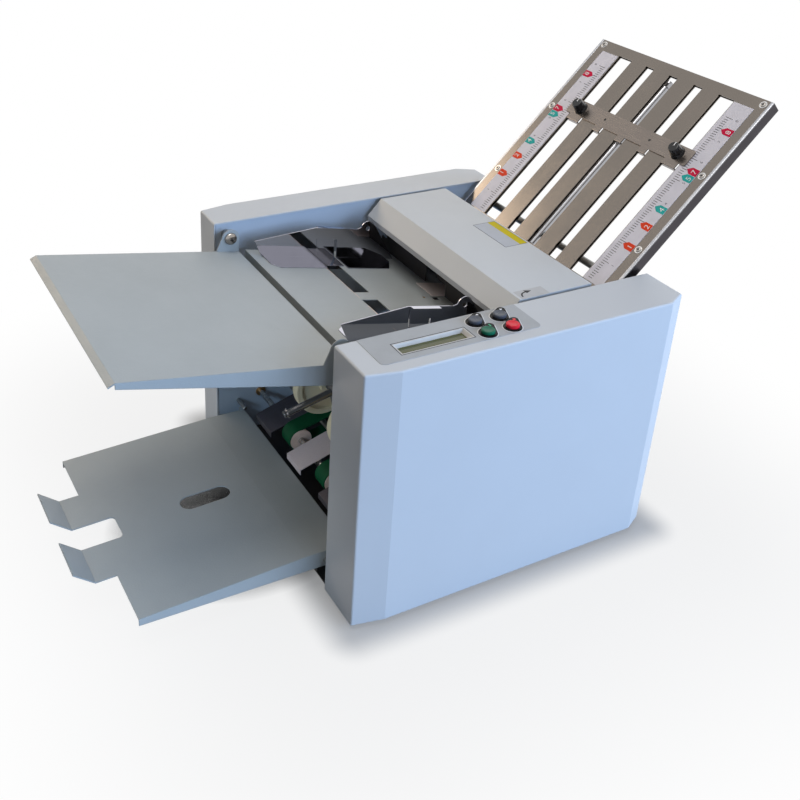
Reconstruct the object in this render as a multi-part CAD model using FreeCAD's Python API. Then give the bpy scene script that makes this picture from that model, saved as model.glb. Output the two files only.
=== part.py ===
"""Desk-top paper folding machine with a friction feeder, four fold rollers and two fold plates.

Machine frame used while modelling, in millimetres:
  x  runs from the feed end (0 is the front edge of the side covers) to the rear
  y  runs across the paper, 0 is the paper's centre line, the operator stands at -y
  z  runs up from the surface that the feet stand on
Every shape is moved at the end so that the origin is the bottom centre of the whole machine.
"""
import FreeCAD, Part
import math
import os

V = FreeCAD.Vector

# ---------------------------------------------------------------- driving dimensions
# overall body
COVER_L = 442.0          # length of a side cover
COVER_H = 340.0          # height of a side cover
NEAR_COVER_W = 75.0      # the near cover holds the controls, so it is the wider one
FAR_COVER_W = 58.0
THROAT_W = 345.0         # clear width between the two covers
FLOOR_GAP = 6.0          # covers stand this far above the table
SKIN = 2.0               # wall of the covers and of the base
FRAME_T = 3.0            # side frame plates
FRAME_INSET = 1.5        # side frames stand this far behind the covers' inner edges
FRONT_CHAMFER = (41.0, 8.0)    # long, shallow lead-in on the outer face (along x, along y)
REAR_CHAMFER = (27.0, 14.0)
COVER_EDGE_R = 2.5
RETURN_LIP = 12.0        # flange that turns in under the covers
LOW_TIE = (95.0, 22.0, 24.0)   # low tie rods: in from the front, in from the rear, height
HIGH_TIE = (150.0, COVER_H - 102.0)
SILL = (27.5, 18.0)      # turned-up front edge of the base: short of a cover, height
FOOT_R = 11.0
FOOT_INSET = (42.0, 14.0)

# control panel on the near cover
PANEL_X = (26.5, 234.0)
PANEL_OUT = 57.0         # how far the printed panel reaches out from the cover's inner edge
PANEL_T = 0.4
PANEL_R = 7.0
DISPLAY_SIZE = (92.0, 22.0)
DISPLAY_CENTRE = (103.0, -34.7)   # second value is measured out from the cover's inner edge
DISPLAY_DEPTH = 4.5
BUTTON_PITCH = (33.4, 26.0)
BUTTON_FIRST = (167.5, -19.0)     # first button's centre, second value from the cover's inner edge
BUTTON_R = 8.0
BUTTON_TRAVEL = 2.0
BEZEL_R = 10.8
BEZEL_TIP_R = 5.5
BEZEL_TIP_REACH = 16.0
BEZEL_TIP_ANGLE = 49.0
BEZEL_H = 1.6
BUTTON_RISE = 5.6        # rim of a button above the cover
BUTTON_DISH = (45.0, 0.4)    # radius and depth of its finger dish
BOARD_T = 1.6

# feed table
DECK_SLOPE = 11.5        # degrees, falls towards the rollers
DECK_FRONT = (36.5, COVER_H - 29.5)
DECK_BACK_X = COVER_L - 139.0
DECK_SIDE_GAP = 17.5     # between the table and a cover
SHEET_T = 1.5
DECK_FLANGE = 22.0
SLOT_X = (129.0, 152.0)
SLOT_OUTER = 126.0
FAR_SLOT_INNER = 20.0
NEAR_SLOT_INNER = 2.0
SENSOR_HOLE = (COVER_L - 204.0, COVER_L - 194.5, -4.5, 4.5)
PAD_X = (COVER_L - 201.0, COVER_L - 142.0)
PAD_Y = 27.0
PAD_W = 42.0
PAD_T = 1.0

# paper guides
GUIDE_T = 1.2
FAR_GUIDE_Y = 131.0
NEAR_GUIDE_Y = -111.0
GUIDE_FLANGE = 36.0
GUIDE_FRONT = (40.0, COVER_H - 8.0)
GUIDE_KNEE = (129.0, COVER_H - 4.0)
GUIDE_WALL_H = 44.5
GUIDE_EAR_X = COVER_L - 233.0
GUIDE_EAR_R = 11.0
GUIDE_EAR_H = 57.0
GUIDE_BACK_X = COVER_L - 190.0
GUIDE_LIP = 7.0
GUIDE_LIP_X = (132.0, 172.0)
BRACKET_X = (131.0, 158.0)       # grip bracket behind the wall
BRACKET_FOOT = 7.0               # its foot ends this far short of the flange's edge
GUIDE_WINDOW = (1.0, 3.0, 28.0)  # the wall's window: ahead of the bracket, behind it, height
PAD_CLEARANCE = 2.0      # a guide's flange ends this far ahead of the friction pad

# feed tray extension
TRAY_SLOPE = 9.15        # degrees, rises away from the machine
TRAY_PIVOT = (16.5, COVER_H - 10.6)
TRAY_DROP = 18.3         # tray surface below its pivot
TRAY_INNER_X = 28.0
TRAY_OUTER_X = -231.75
TRAY_SIDE_GAP = 15.5     # between the tray and a cover
TRAY_EDGE_DEPTH = (7.5, 27.5)    # side flange depth at the outer and the inner end
TRAY_END_SHORT = 4.5     # the turned-down end stops this far above the flanges' lower edge
TRAY_LIP = 8.5
TRAY_LIP_ANGLE = 25.0
EAR_R = 12.5

# delivery tray
OUT_SIDE_GAP = 12.0      # between the delivery tray and a cover
OUT_PIVOT = (6.0, 41.0)
OUT_INNER = (36.0, 54.2)
OUT_KNEE = (-18.5, 54.2)
OUT_OUTER = (-224.5, 43.5)
OUT_EDGE_DEPTH = (9.5, 23.0)
PRONG_L = 25.0
PRONG_TIP = (24.5, 20.5)
PRONG_Y = (20.5, 81.5)
NOTCH_DEPTH = 27.0
NOTCH_R = 6.0
GRIP_SLOT = (-118.0, -52.0, 13.0)    # first end, second end, half width
STUD = (33.0, 63.0)
STUD_R = 3.0
STUD_L = 26.0

# top cover over the feed roller
TOP_SIDE_GAP = 6.0       # between the top cover and a side cover
TOP_BACK_X = COVER_L - 86.0
TOP_CREASE_X = COVER_L - 193.5
TOP_NOSE = (COVER_L - 213.7, COVER_H - 16.3)
TOP_LIP = 7.5
TOP_SIDE = 22.0
TOP_PIVOT_DROP = 10.0
GATE_X = COVER_L - 184.0

# rollers
NIP_GAP = 0.3            # fold rollers stand this far apart, about a sheet of stiff paper
ROLLER_END_GAP = 14.0    # between a roller's barrel and a side frame
SHAFT_R = 4.0
NIP_ONE = (COVER_L - 110.0, COVER_H - 78.0)
NIP_TILT = 20.0
FEED_WHEEL_R = 20.0
FEED_HUB_R = 11.0
FEED_SHAFT_X = COVER_L - 154.0
RUN_FIT = 0.05           # radial clearance of a running fit
SEAT_FIT = 0.02          # radial clearance of a fixed bush or pin
REST_GAP = 0.1           # gap between a sliding piece and what carries it
BUSH_R = 7.5
GEAR_MODULE = 1.25
GEAR_TEETH = 24
GEAR_W = 8.0
GEAR_SLACK = 0.10        # each flank is thinned by this much

# fold plate one
PLATE_TOP = (COVER_L + 171.0, COVER_H + 206.0)
PLATE_ANGLE = 45.0
PLATE_SIDE_GAP = 12.0
PLATE_L = 372.0
PLATE_SHEET = 1.2
PLATE_GAP = 3.0
RAIL_T = 4.6
RAIL_DEPTH = 16.5
RAIL_L = 352.0
RAIL_FLANGE = 14.0
SLOT_PLACES = ((0.0, 16.5), (46.8, 16.5), (98.5, 27.5))   # distance off centre, width
SLOT_RUN = (15.7, 315.0)
SCALE_Y = (113.2, 146.8)
SCALE_T = 0.3
SCREW_PLACES = (7.6, 126.0, 248.0)
SCREW_Y = 153.5
STOP_PLACE = 112.4
STOP_W = 24.5
STOP_HALF_L = 121.5
STOP_TRAVEL = (-92.0, 150.0)     # towards the far end of the plate, towards the rollers
KNOB_R = 8.6
KNOB_H = 15.0
FINGER_REACH = 9.0
ROD_OFF = 9.0
ROD_R = 5.0
ROD_PLACES = (292.0, 338.0)      # tie rods that carry the plate's rails

# fold plate two
PLATE_TWO_RUN = (42.0, 216.0)
PLATE_TWO_RAIL = (62.0, 216.0)
PLATE_TWO_SIDE_GAP = 22.5
PLATE_TWO_SLOT = (60.0, 204.0)
LOWER_RAIL_DEPTH = 14.0
STOP_TWO_PLACE = 130.0
STOP_TWO_TRAVEL = (-45.0, 52.0)
STOP_TWO_BLOCK = 13.0    # half width of its clamp block

# delivery
BELT_TILT = 14.0
FRONT_PULLEY = (67.9, 69.6)
REAR_PULLEY_X = COVER_L - 142.0
PULLEY_R = 14.0
PULLEY_W = 28.0
BELT_Y = 51.0
BELT_W = 25.0
BELT_T = 2.5
BELT_GAP = 0.3
GUIDE_PLATE_FRONT = (38.9, 67.5)
GUIDE_PLATE_TILT = 18.0
GUIDE_PLATE_BACK_X = 206.0
MID_GUIDE_HALF = 20.8
CROSSBAR_X = (105.0, 160.0)     # rods that carry the guide plates
LOWER_ROD_PLACES = (88.0, 200.0)    # rods that carry the lower fold plate's rails
SIDE_GUIDE_Y = (73.0, 123.5)
THROAT_LINE = [(-27.5, -16.0), (-27.5, -7.5), (-14.5, -4.0)]     # from the first nip
CHUTE_LINE = [(-49.0, -98.0), (-28.0, -70.0), (-2.0, -37.5)]     # from the first nip
WHEEL_R = 44.5
WHEEL_W = 14.0
WHEEL_Y = 50.5
WHEEL_X = 107.5
AXLE_R = 3.0
STACK_ROD_R = 4.8
STACK_ROD_X = (24.0, 205.0)
STACK_ROD_OVER = 23.0            # rod axis above the wheel axle, square to the belts

# drive
MOTOR_AT = (COVER_L - 192.0, 54.0)
MOTOR_R = 30.0
MOTOR_L = 110.0
MOTOR_PULLEY_R = 12.0
MAIN_PULLEY_R = 24.0
SMALL_PULLEY_R = 10.0
DRIVE_BELT_W = 8.0
DRIVE_BELT_T = 1.6
INLET_AT = (-THROAT_W / 2 - 30.5, 62.0)    # y and z of the power inlet's centre on the rear face
SWITCH_RISE = 29.0               # the switch sits this far above the inlet
ROCKER_TILT = 10.0

# ---------------------------------------------------------------- derived places
TOP_Z = FLOOR_GAP + COVER_H
COVER_Y = THROAT_W / 2
DECK_HALF_W = COVER_Y - DECK_SIDE_GAP
TRAY_HALF_W = COVER_Y - TRAY_SIDE_GAP
OUT_HALF_W = COVER_Y - OUT_SIDE_GAP
TOP_HALF_W = COVER_Y - TOP_SIDE_GAP
PLATE_HALF_W = COVER_Y - PLATE_SIDE_GAP
PLATE_TWO_HALF_W = COVER_Y - PLATE_TWO_SIDE_GAP
FRAME_IN = COVER_Y + FRAME_INSET
FRAME_OUT = FRAME_IN + FRAME_T
ROLLER_HALF_L = FRAME_IN - ROLLER_END_GAP
NEAR_OUT = -(COVER_Y + NEAR_COVER_W)
FAR_OUT = COVER_Y + FAR_COVER_W
BASE_Z = FLOOR_GAP + SKIN
BASE_TOP = BASE_Z + SKIN
X_MIN = (OUT_OUTER[0] - PRONG_L - PRONG_TIP[0]
         - SHEET_T * PRONG_TIP[1] / math.hypot(PRONG_TIP[0], PRONG_TIP[1]))
PLATE_UP = (math.cos(math.radians(PLATE_ANGLE)), math.sin(math.radians(PLATE_ANGLE)))
X_MAX = PLATE_TOP[0] + RAIL_DEPTH * PLATE_UP[1]
SHIFT = V(-(X_MIN + X_MAX) / 2, -(NEAR_OUT + FAR_OUT) / 2, 0)


def deck_z(x):
    """Height of the feed table's upper surface."""
    return DECK_FRONT[1] - math.tan(math.radians(DECK_SLOPE)) * (x - DECK_FRONT[0])


def polar(centre, radius, degrees):
    """Point in the x-z plane at a radius and an angle from +x towards +z."""
    a = math.radians(degrees)
    return (centre[0] + radius * math.cos(a), centre[1] + radius * math.sin(a))


PITCH_R = GEAR_MODULE * GEAR_TEETH / 2
ROLLER_R = PITCH_R - NIP_GAP / 2
ROLLER_TWO = polar(NIP_ONE, PITCH_R, NIP_TILT - 90)
ROLLER_ONE = polar(NIP_ONE, PITCH_R, NIP_TILT + 90)
ROLLER_THREE = polar(ROLLER_TWO, 2 * PITCH_R, NIP_TILT)
ROLLER_FOUR = polar(ROLLER_TWO, 2 * PITCH_R, NIP_TILT - 90)
NIP_TWO = polar(ROLLER_TWO, PITCH_R, NIP_TILT)
ROLLERS = {"one": ROLLER_ONE, "two": ROLLER_TWO, "three": ROLLER_THREE, "four": ROLLER_FOUR}
PAD_TOP = deck_z(FEED_SHAFT_X) + PAD_T / math.cos(math.radians(DECK_SLOPE))
FEED_SHAFT = (FEED_SHAFT_X + FEED_WHEEL_R * math.sin(math.radians(DECK_SLOPE)),
              PAD_TOP + (FEED_WHEEL_R + 0.3) * math.cos(math.radians(DECK_SLOPE)))
BELT_SLOPE = math.tan(math.radians(BELT_TILT))
REAR_PULLEY = (REAR_PULLEY_X, FRONT_PULLEY[1] + BELT_SLOPE * (REAR_PULLEY_X - FRONT_PULLEY[0]))
BELT_SQUARE = (-math.sin(math.radians(BELT_TILT)), math.cos(math.radians(BELT_TILT)))
BELT_ALONG = (math.cos(math.radians(BELT_TILT)), math.sin(math.radians(BELT_TILT)))
WHEEL_LIFT = PULLEY_R + BELT_GAP + BELT_T + BELT_GAP + WHEEL_R
WHEEL_RUN = (WHEEL_X - FRONT_PULLEY[0] - BELT_SQUARE[0] * WHEEL_LIFT) / BELT_ALONG[0]
AXLE_AT = (WHEEL_X, FRONT_PULLEY[1] + BELT_ALONG[1] * WHEEL_RUN + BELT_SQUARE[1] * WHEEL_LIFT)


# ---------------------------------------------------------------- helpers
def box(x0, x1, y0, y1, z0, z1):
    """Box between two corners given as pairs of limits."""
    return Part.makeBox(x1 - x0, y1 - y0, z1 - z0, V(x0, y0, z0))


def rod_y(at, radius, y0, y1):
    """Round bar along y about a point of the x-z plane."""
    return Part.makeCylinder(radius, y1 - y0, V(at[0], y0, at[1]), V(0, 1, 0))


def ring_y(at, outer, inner, y0, y1):
    """Round bar along y with a bore."""
    return rod_y(at, outer, y0, y1).cut(rod_y(at, inner, y0 - 1, y1 + 1))


def prism_xz(points, y0, y1):
    """Closed outline in the x-z plane, carried from y0 to y1."""
    wire = Part.makePolygon([V(x, y0, z) for x, z in points + [points[0]]])
    return Part.Face(wire).extrude(V(0, y1 - y0, 0))


def prism_xy(points, z0, z1):
    """Closed outline in the x-y plane, carried from z0 to z1."""
    wire = Part.makePolygon([V(x, y, z0) for x, y in points + [points[0]]])
    return Part.Face(wire).extrude(V(0, 0, z1 - z0))


def offset_line(points, distance):
    """Mitred copy of a line, moved to the line's right."""
    count = len(points)
    normals = []
    for (ax, az), (bx, bz) in zip(points, points[1:]):
        length = math.hypot(bx - ax, bz - az)
        normals.append(((bz - az) / length, -(bx - ax) / length))
    other = []
    for i in range(count):
        first = normals[max(i - 1, 0)]
        last = normals[min(i, count - 2)]
        mx, mz = first[0] + last[0], first[1] + last[1]
        scale = distance * 2 / (mx * mx + mz * mz)
        other.append((points[i][0] + mx * scale, points[i][1] + mz * scale))
    return other


def bent_strip(points, thickness):
    """Outline of a bent sheet: the given line and its mitred offset to the line's right."""
    return points + offset_line(points, thickness)[::-1]


def joined(shapes):
    """One solid out of touching or overlapping shapes."""
    whole = shapes[0]
    if len(shapes) > 1:
        whole = whole.fuse(shapes[1:])
    return whole.removeSplitter()


def group(shapes):
    """Separate solids kept together in one node."""
    return Part.makeCompound(shapes)


def mirrored(shape):
    """Copy on the other side of the paper's centre line."""
    return shape.mirror(V(0, 0, 0), V(0, 1, 0))


def both_sides(shape):
    """A piece and its copy on the other side."""
    return group([shape, mirrored(shape)])


def on_slope(shape, at, degrees):
    """Turn a shape built level at the origin to a slope, and put it at a place of the x-z plane."""
    turned = shape.copy()
    turned.rotate(V(0, 0, 0), V(0, 1, 0), -degrees)
    turned.translate(V(at[0], 0, at[1]))
    return turned


NODES = {}


def export(name, shape):
    """Move a finished node to the machine's origin and write it."""
    moved = shape.copy()
    moved.translate(SHIFT)
    NODES[name] = moved
    moved.exportStep(f"parts/{name}.step")


# ---------------------------------------------------------------- casing
def cover_outline(width):
    """Plan line of a side cover: x along, y from the outer face at 0 to the open inner side."""
    fx, fy = FRONT_CHAMFER
    rx, ry = REAR_CHAMFER
    return [(0, width), (0, fy), (fx, 0), (COVER_L - rx, 0), (COVER_L, ry), (COVER_L, width)]


def cover_shell(width):
    """One side cover, open towards the frame and below, with a lip turned in at the bottom."""
    line = cover_outline(width)
    outer = prism_xy(line, FLOOR_GAP, TOP_Z)
    edges = []
    for edge in outer.Edges:
        ends = [vertex.Point for vertex in edge.Vertexes]
        middle = (ends[0] + ends[1]) * 0.5
        open_side = abs(middle.y - width) < 0.01
        standing = abs(ends[0].z - ends[1].z) > 1
        if not open_side and (standing or middle.z > TOP_Z - 1):
            edges.append(edge)
    outer = outer.makeFillet(COVER_EDGE_R, edges)
    inner = offset_line(line, -SKIN)
    inner = [(SKIN, width + 1)] + inner[1:-1] + [(COVER_L - SKIN, width + 1)]
    hollow = prism_xy(inner, BASE_Z, TOP_Z - SKIN)
    well = box(SKIN + RETURN_LIP, COVER_L - SKIN - RETURN_LIP, SKIN + RETURN_LIP, width + 1,
               FLOOR_GAP - 1, BASE_Z + 1)
    return outer.cut([hollow, well])


def side_covers():
    """Both covers, with the control openings in the near one."""
    near = cover_shell(NEAR_COVER_W)
    near.translate(V(0, NEAR_OUT, 0))
    cutters = [display_opening()]
    for x, y in button_places():
        cutters.append(Part.makeCylinder(BUTTON_R + 1.6, 20, V(x, y, TOP_Z - 10)))
    iy, iz = INLET_AT
    cutters.append(box(COVER_L - 5, COVER_L + 5, iy - 13.5, iy + 13.5, iz - 10,
                       iz + SWITCH_RISE + 7))
    export("near_cover", near.cut(cutters))
    far = cover_shell(FAR_COVER_W).mirror(V(0, 0, 0), V(0, 1, 0))
    far.translate(V(0, FAR_OUT, 0))
    export("far_cover", far)


def base():
    """Base plate with a turned-up front sill, the four feet and the two side frames."""
    near = NEAR_OUT + SKIN + 1
    far = FAR_OUT - SKIN - 1
    rx, ry = REAR_CHAMFER
    fx, fy = FRONT_CHAMFER
    plan = [(SKIN + 1, near + fy), (fx, near), (COVER_L - rx, near), (COVER_L - SKIN - 1, near + ry),
            (COVER_L - SKIN - 1, far - ry), (COVER_L - rx, far), (fx, far), (SKIN + 1, far - fy)]
    plate = prism_xy(plan, BASE_Z, BASE_TOP)
    sill_half = COVER_Y - SILL[0]
    sill = box(SKIN + 1, SKIN + 1 + SHEET_T, -sill_half, sill_half, BASE_TOP - 0.5, BASE_TOP + SILL[1])
    export("base_plate", joined([plate, sill]))
    feet = []
    for x in (FOOT_INSET[0], COVER_L - FOOT_INSET[0]):
        for y in (-(FRAME_OUT + FOOT_INSET[1]), FRAME_OUT + FOOT_INSET[1]):
            foot = Part.makeCone(FOOT_R - 1.5, FOOT_R, BASE_Z, V(x, y, 0))
            feet.append(foot)
    export("rubber_feet", group(feet))
    export("far_side_frame", side_frame(1))
    export("near_side_frame", side_frame(-1))


def shaft_places():
    """Every turning shaft that crosses the machine."""
    return list(ROLLERS.values()) + [FEED_SHAFT, FRONT_PULLEY, REAR_PULLEY]


def side_frame(side):
    """Steel side frame with a foot flange, bored for the shafts' bushes."""
    x0, x1 = SKIN + 1, COVER_L - SKIN - 1
    corner = 12.0
    top = TOP_Z - SKIN - 0.5
    outline = [(x0, BASE_TOP), (x1, BASE_TOP), (x1, top - corner), (x1 - corner, top), (x0, top)]
    plate = prism_xz(outline, FRAME_IN, FRAME_OUT)
    foot = box(x0 + 10, x1 - 10, FRAME_OUT - 0.5, FRAME_OUT + 14, BASE_TOP, BASE_TOP + FRAME_T)
    rest_top = TOP_Z - TOP_SIDE - 0.05
    rest = box(TOP_CREASE_X + 6, TOP_CREASE_X + 14, TOP_HALF_W - 6, FRAME_IN + 0.5, rest_top - SHEET_T,
               rest_top)
    plate = joined([plate, foot, rest])
    cuts = [rod_y(at, BUSH_R + SEAT_FIT, FRAME_IN - 1, FRAME_OUT + 1) for at in shaft_places()]
    if side > 0:
        cuts.append(rod_y(MOTOR_AT, BUSH_R, FRAME_IN - 1, FRAME_OUT + 1))
    plate = plate.cut(cuts)
    return plate if side > 0 else mirrored(plate)


def cross_rods():
    """Every round tie rod between the side frames."""
    front, rear, height = LOW_TIE
    places = [HIGH_TIE, (front, height), (COVER_L - rear, height), tray_stop_place()]
    places += [plate_point(s, -RAIL_DEPTH - ROD_R) for s in ROD_PLACES]
    radii = [ROD_R, ROD_R, ROD_R, STUD_R, ROD_R, ROD_R]
    for x in CROSSBAR_X:
        under = guide_line_z(x) - 1.0 / math.cos(math.radians(GUIDE_PLATE_TILT))
        places.append((x, under - SHAFT_R / math.cos(math.radians(GUIDE_PLATE_TILT))))
        radii.append(SHAFT_R)
    for s in LOWER_ROD_PLACES:
        spot = on_plate_two(Part.Vertex(V(-s, 0, -LOWER_RAIL_DEPTH - SHAFT_R))).Point
        places.append((spot.x, spot.z))
        radii.append(SHAFT_R)
    rods = [rod_y(at, r, -FRAME_IN, FRAME_IN) for at, r in zip(places, radii)]
    export("tie_rods", group(rods))


# ---------------------------------------------------------------- control panel
def button_places():
    """Centres of the four push buttons, rows along x."""
    places = []
    for row in range(2):
        for column in range(2):
            places.append((BUTTON_FIRST[0] + column * BUTTON_PITCH[0],
                           -COVER_Y + BUTTON_FIRST[1] - row * BUTTON_PITCH[1]))
    return places


def display_opening():
    """Cutter for the display's window, through the cover's top and the panel."""
    cx, cy = DISPLAY_CENTRE[0], -COVER_Y + DISPLAY_CENTRE[1]
    w, d = DISPLAY_SIZE
    return box(cx - w / 2, cx + w / 2, cy - d / 2, cy + d / 2, TOP_Z - 10, TOP_Z + 10)


def bezel_outline(grow, z0, z1):
    """Drop-shaped solid: a round end about the button joined to a small round tip."""
    big = Part.makeCylinder(BEZEL_R + grow, z1 - z0, V(0, 0, z0))
    a = math.radians(BEZEL_TIP_ANGLE)
    tx, ty = BEZEL_TIP_REACH * math.cos(a), BEZEL_TIP_REACH * math.sin(a)
    small = Part.makeCylinder(BEZEL_TIP_R + grow, z1 - z0, V(tx, ty, z0))
    spread = math.acos((BEZEL_R - BEZEL_TIP_R) / BEZEL_TIP_REACH)
    sides = []
    for sign in (1, -1):
        t = a + sign * spread
        near = (math.cos(t) * (BEZEL_R + grow), math.sin(t) * (BEZEL_R + grow))
        far = (tx + math.cos(t) * (BEZEL_TIP_R + grow), ty + math.sin(t) * (BEZEL_TIP_R + grow))
        sides.append((near, far))
    (n1, f1), (n2, f2) = sides
    web = prism_xy([n1, f1, (tx, ty), f2, n2, (0, 0)], z0, z1)
    return joined([big, small, web])


def control_panel():
    """Printed panel, display, bezels, buttons and the circuit board; gives back its posts."""
    inner = -COVER_Y
    outer = inner - PANEL_OUT
    x0, x1 = PANEL_X
    panel = box(x0, x1, outer, inner, TOP_Z, TOP_Z + PANEL_T)
    corners = [e for e in panel.Edges if abs(e.Vertexes[0].Point.z - e.Vertexes[-1].Point.z) > 0.1
               and e.Vertexes[0].Point.y < outer + 1]
    panel = panel.makeFillet(PANEL_R, corners)
    holes = [Part.makeCylinder(BUTTON_R + 1.6, 20, V(x, y, TOP_Z - 10)) for x, y in button_places()]
    export("control_panel", panel.cut(holes + [display_opening()]))

    cx, cy = DISPLAY_CENTRE[0], inner + DISPLAY_CENTRE[1]
    w, d = DISPLAY_SIZE
    glass_z = TOP_Z + PANEL_T - DISPLAY_DEPTH
    block = box(cx - w / 2 + SEAT_FIT, cx + w / 2 - SEAT_FIT, cy - d / 2 + SEAT_FIT,
                cy + d / 2 - SEAT_FIT, glass_z, TOP_Z + PANEL_T)
    window = Part.makeLoft([rectangle(cx, cy, w - 8, d - 6, glass_z - 0.5),
                            rectangle(cx, cy, w - 1.5, d - 1.5, TOP_Z + PANEL_T + 0.5)], True)
    export("display_frame", block.cut(window))
    board_top = glass_z - 12.0
    display = box(cx - w / 2 + 1, cx + w / 2 - 1, cy - d / 2 + 1, cy + d / 2 - 1, board_top, glass_z)
    export("display_module", display)

    bezels = []
    for x, y in button_places():
        body = bezel_outline(0.0, TOP_Z + PANEL_T, TOP_Z + PANEL_T + BEZEL_H)
        rim = [e for e in body.Edges if e.BoundBox.ZMin > TOP_Z + PANEL_T + BEZEL_H - 0.01]
        body = body.makeChamfer(0.7, rim)
        collar = Part.makeCylinder(BUTTON_R + 1.55, 5.0, V(0, 0, TOP_Z + PANEL_T - 4.5))
        bore = Part.makeCylinder(BUTTON_R + RUN_FIT, 30, V(0, 0, TOP_Z - 15))
        bezel = joined([body, collar]).cut(bore)
        bezel.translate(V(x, y, 0))
        bezels.append(bezel)
    export("button_bezels", group(bezels))

    names = ("button_back", "button_forward", "button_start", "button_stop")
    flange_z = TOP_Z + PANEL_T - 4.5
    switch_z = board_top + 6.0
    for name, (x, y) in zip(names, button_places()):
        rim_z = TOP_Z + BUTTON_RISE
        body = Part.makeCylinder(BUTTON_R, rim_z - flange_z + 0.5, V(x, y, flange_z - 0.5))
        body = body.makeFillet(1.4, [e for e in body.Edges if e.BoundBox.ZMin > rim_z - 0.01])
        dish_r, dish_depth = BUTTON_DISH
        body = body.cut(Part.makeSphere(dish_r, V(x, y, rim_z + dish_r - dish_depth)))
        flange = Part.makeCylinder(BUTTON_R + 1.0, 1.5, V(x, y, flange_z - 1.5))
        stem = Part.makeCylinder(2.5, flange_z - 1 - switch_z - BUTTON_TRAVEL - 0.3,
                                 V(x, y, switch_z + BUTTON_TRAVEL + 0.3))
        export(name, joined([body, flange, stem]))

    bx0, bx1 = PANEL_X[0] + 14, PANEL_X[1] - 8
    by0, by1 = outer - 3.0, -FRAME_OUT - 4.0
    board = box(bx0, bx1, by0, by1, board_top - BOARD_T, board_top)
    switches = [board]
    for x, y in button_places():
        body = box(x - 6, x + 6, y - 6, y + 6, board_top, switch_z - 1.5)
        cap = Part.makeCylinder(3.0, 1.5, V(x, y, switch_z - 1.5))
        switches.append(joined([body, cap]))
    export("control_board", group(switches))
    posts = []
    for x in (bx0 + 5, bx1 - 5):
        for y in (by0 + 5, by1 - 5):
            posts.append(Part.makeCylinder(3.0, TOP_Z - SKIN - board_top, V(x, y, board_top)))
    return posts


def rectangle(cx, cy, w, d, z):
    """Closed rectangular wire about a centre at a height."""
    x0, x1, y0, y1 = cx - w / 2, cx + w / 2, cy - d / 2, cy + d / 2
    corners = [V(x0, y0, z), V(x1, y0, z), V(x1, y1, z), V(x0, y1, z), V(x0, y0, z)]
    return Part.makePolygon(corners)


# ---------------------------------------------------------------- feed table and guides
def feed_table():
    """Sloping table with its slide slots, side flanges and friction pad; gives back its spacers."""
    front_x, front_z = DECK_FRONT
    line = [(front_x, front_z - DECK_FLANGE), (front_x, front_z), (DECK_BACK_X, deck_z(DECK_BACK_X))]
    table = prism_xz(bent_strip(line, SHEET_T), -DECK_HALF_W, DECK_HALF_W)
    side = [(front_x, front_z - DECK_FLANGE), (front_x, front_z - 0.5),
            (DECK_BACK_X, deck_z(DECK_BACK_X) - 0.5), (DECK_BACK_X, deck_z(DECK_BACK_X) - DECK_FLANGE)]
    flanges = [prism_xz(side, DECK_HALF_W - SHEET_T, DECK_HALF_W),
               prism_xz(side, -DECK_HALF_W, -DECK_HALF_W + SHEET_T)]
    table = joined([table] + flanges)
    reach = 60.0
    cuts = []
    x0, x1 = SLOT_X
    mid = deck_z((x0 + x1) / 2)
    cuts.append(box(x0, x1, FAR_SLOT_INNER, SLOT_OUTER, mid - reach / 3, mid + reach / 3))
    cuts.append(box(x0, x1, -SLOT_OUTER, -NEAR_SLOT_INNER, mid - reach / 3, mid + reach / 3))
    sx0, sx1, sy0, sy1 = SENSOR_HOLE
    cuts.append(box(sx0, sx1, sy0, sy1, deck_z(sx1) - 8, deck_z(sx0) + 8))
    export("feed_table", table.cut(cuts))
    px0, px1 = PAD_X
    length = (px1 - px0) / math.cos(math.radians(DECK_SLOPE))
    pad = box(0, length, PAD_Y - PAD_W / 2, PAD_Y + PAD_W / 2, 0, PAD_T)
    export("friction_pad", on_slope(pad, (px0, deck_z(px0)), -DECK_SLOPE))
    spacers = []
    for x in (70.0, 250.0):
        spacer = rod_y((x, deck_z(x) - DECK_FLANGE / 2), 5.0, DECK_HALF_W, FRAME_IN)
        spacers += [spacer, mirrored(spacer)]
    return spacers


def guide_wall_outline():
    """Side view of a paper guide, from the table up, with the rounded ear near the rollers."""
    gap = REST_GAP + 0.2
    ear_z = deck_z(GUIDE_EAR_X) + GUIDE_EAR_H
    ear = (GUIDE_EAR_X, ear_z - GUIDE_EAR_R)
    knee2_x = GUIDE_EAR_X - GUIDE_EAR_R - 5.5
    points = [(GUIDE_FRONT[0] + 10, deck_z(GUIDE_FRONT[0] + 10) + gap), GUIDE_FRONT, GUIDE_KNEE,
              (knee2_x, deck_z(knee2_x) + GUIDE_WALL_H)]
    points += [polar(ear, GUIDE_EAR_R, a) for a in (165, 145, 125, 105, 85, 65, 45, 25)]
    points.append((GUIDE_BACK_X, deck_z(GUIDE_BACK_X) + gap))
    return points, ear


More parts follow.
